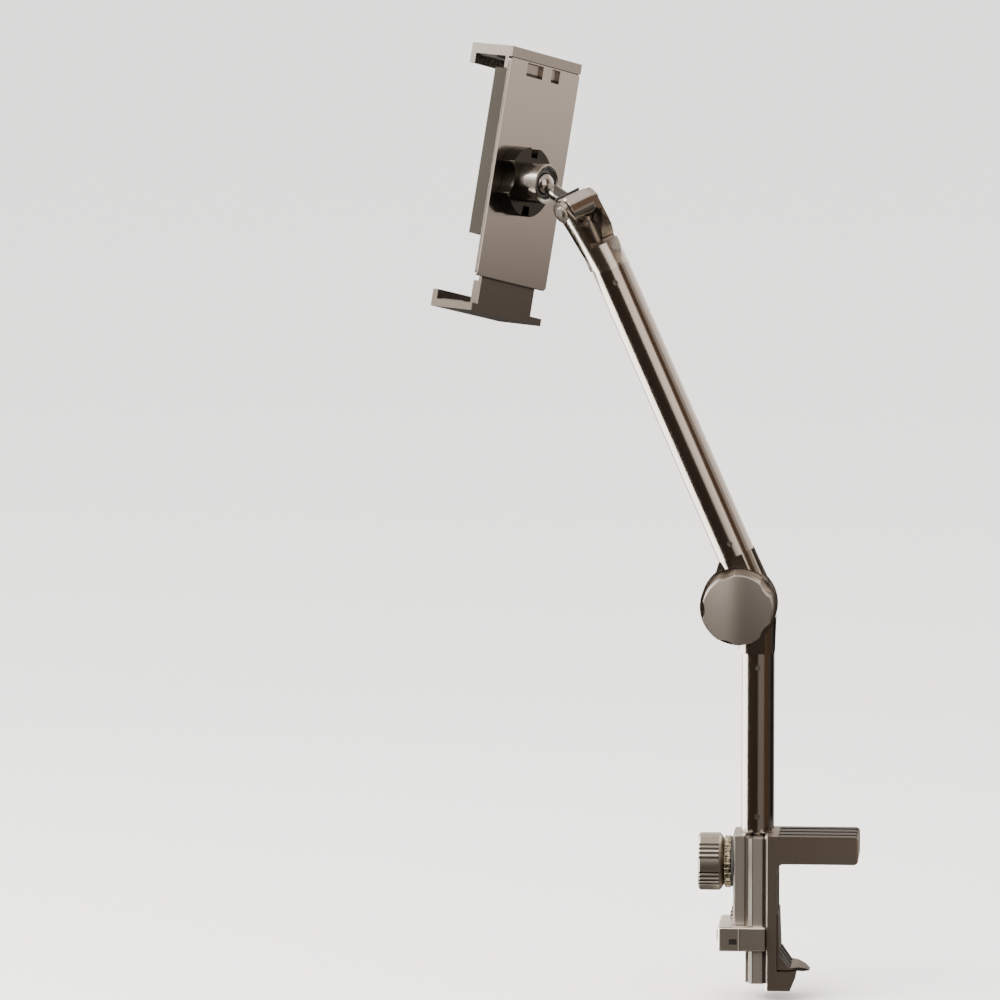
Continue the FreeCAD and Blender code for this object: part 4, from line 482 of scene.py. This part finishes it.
def dress_frame():
    """Give every CAD piece its own finish, or else that of its slot in the record."""
    for entry in frame["record"]["subparts"]:
        mesh = frame["nodes"][entry["node"]].data
        mesh.materials.clear()
        mesh.materials.append(PIECE_MATERIALS.get(entry["node"], MATERIALS[entry["material_slot"]]))


def quads(rows, columns, closed):
    """Faces that join each row of points to the next, and where closed the last column to the first."""
    index = np.arange(rows * columns).reshape(rows, columns)
    beside = np.roll(index, -1, axis=1)
    faces = np.stack([index[:-1], index[1:], beside[1:], beside[:-1]], axis=-1)
    return (faces if closed else faces[:, :-1]).reshape(-1, 4).tolist()


def make_piece(name, places, faces, material):
    """A mesh of one material from an array of places, in an object at the origin."""
    mesh = bpy.data.meshes.new(name)
    mesh.from_pydata(places.reshape(-1, 3).tolist(), [], faces)
    mesh.materials.append(material)
    piece = bpy.data.objects.new(name, mesh)
    bpy.context.scene.collection.objects.link(piece)
    return piece


def add_knuckle_heel():
    """The round heel of the knuckle: a half sleeve about the hinge pin, open towards the ball.

    Its section is a rectangle, from bore to rim in radius r and from end to end in place s along the hinge.
    At an arc angle t from -HEEL_ARC to HEEL_ARC, a corner of it is at
    hinge + s * axis + r * (cos t * heel_way + sin t * side_way).
    """
    to_ball = BALL_CENTRE - HINGE_PLACE
    heel_way = (HINGE_AXIS * to_ball.dot(HINGE_AXIS) - to_ball).normalized()
    side_way = HINGE_AXIS.cross(heel_way)
    radius = np.array((HEEL_BORE, HEEL_RADIUS, HEEL_RADIUS, HEEL_BORE))
    along = np.array((-0.5, -0.5, 0.5, 0.5)) * HEEL_LENGTH
    angle = np.linspace(-HEEL_ARC, HEEL_ARC, HEEL_STEPS + 1)
    out = np.outer(np.cos(angle), heel_way) + np.outer(np.sin(angle), side_way)
    places = np.array(HINGE_PLACE) + np.outer(along, HINGE_AXIS) + out[:, None] * radius[:, None]
    first_end = np.arange(4)
    last_end = first_end[::-1] + 4 * HEEL_STEPS
    faces = quads(HEEL_STEPS + 1, 4, closed=True) + [first_end.tolist(), last_end.tolist()]
    heel = make_piece("knuckle_heel", places, faces, PIECE_MATERIALS["knuckle"])
    heel.data.shade_smooth()
    heel.data.set_sharp_from_angle(angle=SHARP_ANGLE)
    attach(heel, "stem")


def glowing(name, foot, top, heights):
    """A light that changes from one colour to another between two heights."""
    paint = Paint(name, (0, 0, 0), 0.0, 1.0)
    rise = paint.axis("Z").spread(*heights)
    paint.set("Emission Color", paint.mix(rise, foot, top))
    paint.set("Emission Strength", 1.0)
    paint.set("Specular IOR Level", 0.0)
    return paint.material


def ring(angles, heights):
    """Points round the object: at angle a and height z, WALL_CENTRE + (R sin a, -R cos a, z)."""
    angle, height = np.meshgrid(np.radians(angles), heights, indexing="ij")
    across, back = WALL_RADIUS * np.sin(angle), -WALL_RADIUS * np.cos(angle)
    return WALL_CENTRE + np.stack([across, back, height], axis=-1)


def reflect_only(piece):
    """Show a piece to the metal alone."""
    piece.visible_camera = False
    piece.visible_shadow = False
    piece.visible_diffuse = False


def wall(name, start, end, colour, low, high, heights):
    """A curved reflector between two angles from the front, its glow low at the foot and high at the top."""
    steps = max(2, int((end - start) / WALL_STEP))
    places = ring(np.linspace(start, end, steps + 1), (WALL_LOW, WALL_HIGH))
    glow = glowing(name + " glow", shade(colour, low), shade(colour, high), heights)
    reflect_only(make_piece(name, places, quads(steps + 1, 2, closed=False), glow))


def lid(name, height, amount):
    """A flat reflector that closes the ring of walls at a height."""
    places = ring(np.arange(0, 360, WALL_STEP), (height,))
    colour = shade(SOFT_BROWN, amount)
    glow = glowing(name + " glow", colour, colour, GLOW_HEIGHTS)
    reflect_only(make_piece(name, places, [list(range(len(places)))], glow))


def lamp(name, place, size, power, colour):
    """A soft box that looks at the middle of the object."""
    light = bpy.data.lights.new(name, "AREA")
    light.shape = "RECTANGLE"
    light.size, light.size_y = size
    light.energy = power
    light.color = colour
    item = bpy.data.objects.new(name, light)
    item.location = place
    item.rotation_euler = (LAMP_TARGET - Vector(place)).to_track_quat("-Z", "Y").to_euler()
    item.visible_camera = False
    bpy.context.scene.collection.objects.link(item)


def set_sky():
    """An even pale light from all round."""
    world = bpy.data.worlds.new("studio")
    bpy.context.scene.world = world
    world.use_nodes = True
    background = world.node_tree.nodes["Background"]
    background.inputs["Color"].default_value = SKY_COLOUR
    background.inputs["Strength"].default_value = SKY_STRENGTH


def add_floor():
    """A pale square that the metal doesn't mirror."""
    corners = np.array(((-1, -1), (1, -1), (1, 1), (-1, 1))) * FLOOR_HALF
    places = np.column_stack((corners, np.full(4, FLOOR_HEIGHT)))
    paint = Paint("floor paint", FLOOR_PAINT, 0.0, FLOOR_ROUGHNESS)
    floor = make_piece("floor", places, [(0, 1, 2, 3)], paint.material)
    floor.visible_glossy = False


def set_stage():
    """Pale floor and sky, soft light from the left and above, and the glows that the metal mirrors."""
    set_sky()
    add_floor()
    for values in WALLS:
        wall(*values)
    for values in LIDS:
        lid(*values)
    for values in LAMPS:
        lamp(*values)


def set_camera():
    """The photograph's viewpoint, from its azimuth and elevation about the point aimed at."""
    camera = bpy.data.cameras.new("camera")
    camera.lens = CAMERA_LENS
    camera.sensor_width = CAMERA_SENSOR
    camera.clip_end = CAMERA_REACH
    item = bpy.data.objects.new("camera", camera)
    bpy.context.scene.collection.objects.link(item)
    back = Vector((
        math.sin(CAMERA_AZIMUTH) * math.cos(CAMERA_ELEVATION),
        -math.cos(CAMERA_AZIMUTH) * math.cos(CAMERA_ELEVATION),
        math.sin(CAMERA_ELEVATION),
    ))
    item.location = CAMERA_AIM + back * CAMERA_DISTANCE
    item.rotation_euler = back.to_track_quat("Z", "Y").to_euler()
    bpy.context.scene.camera = item


dress_frame()
add_knuckle_heel()
set_stage()
set_camera()
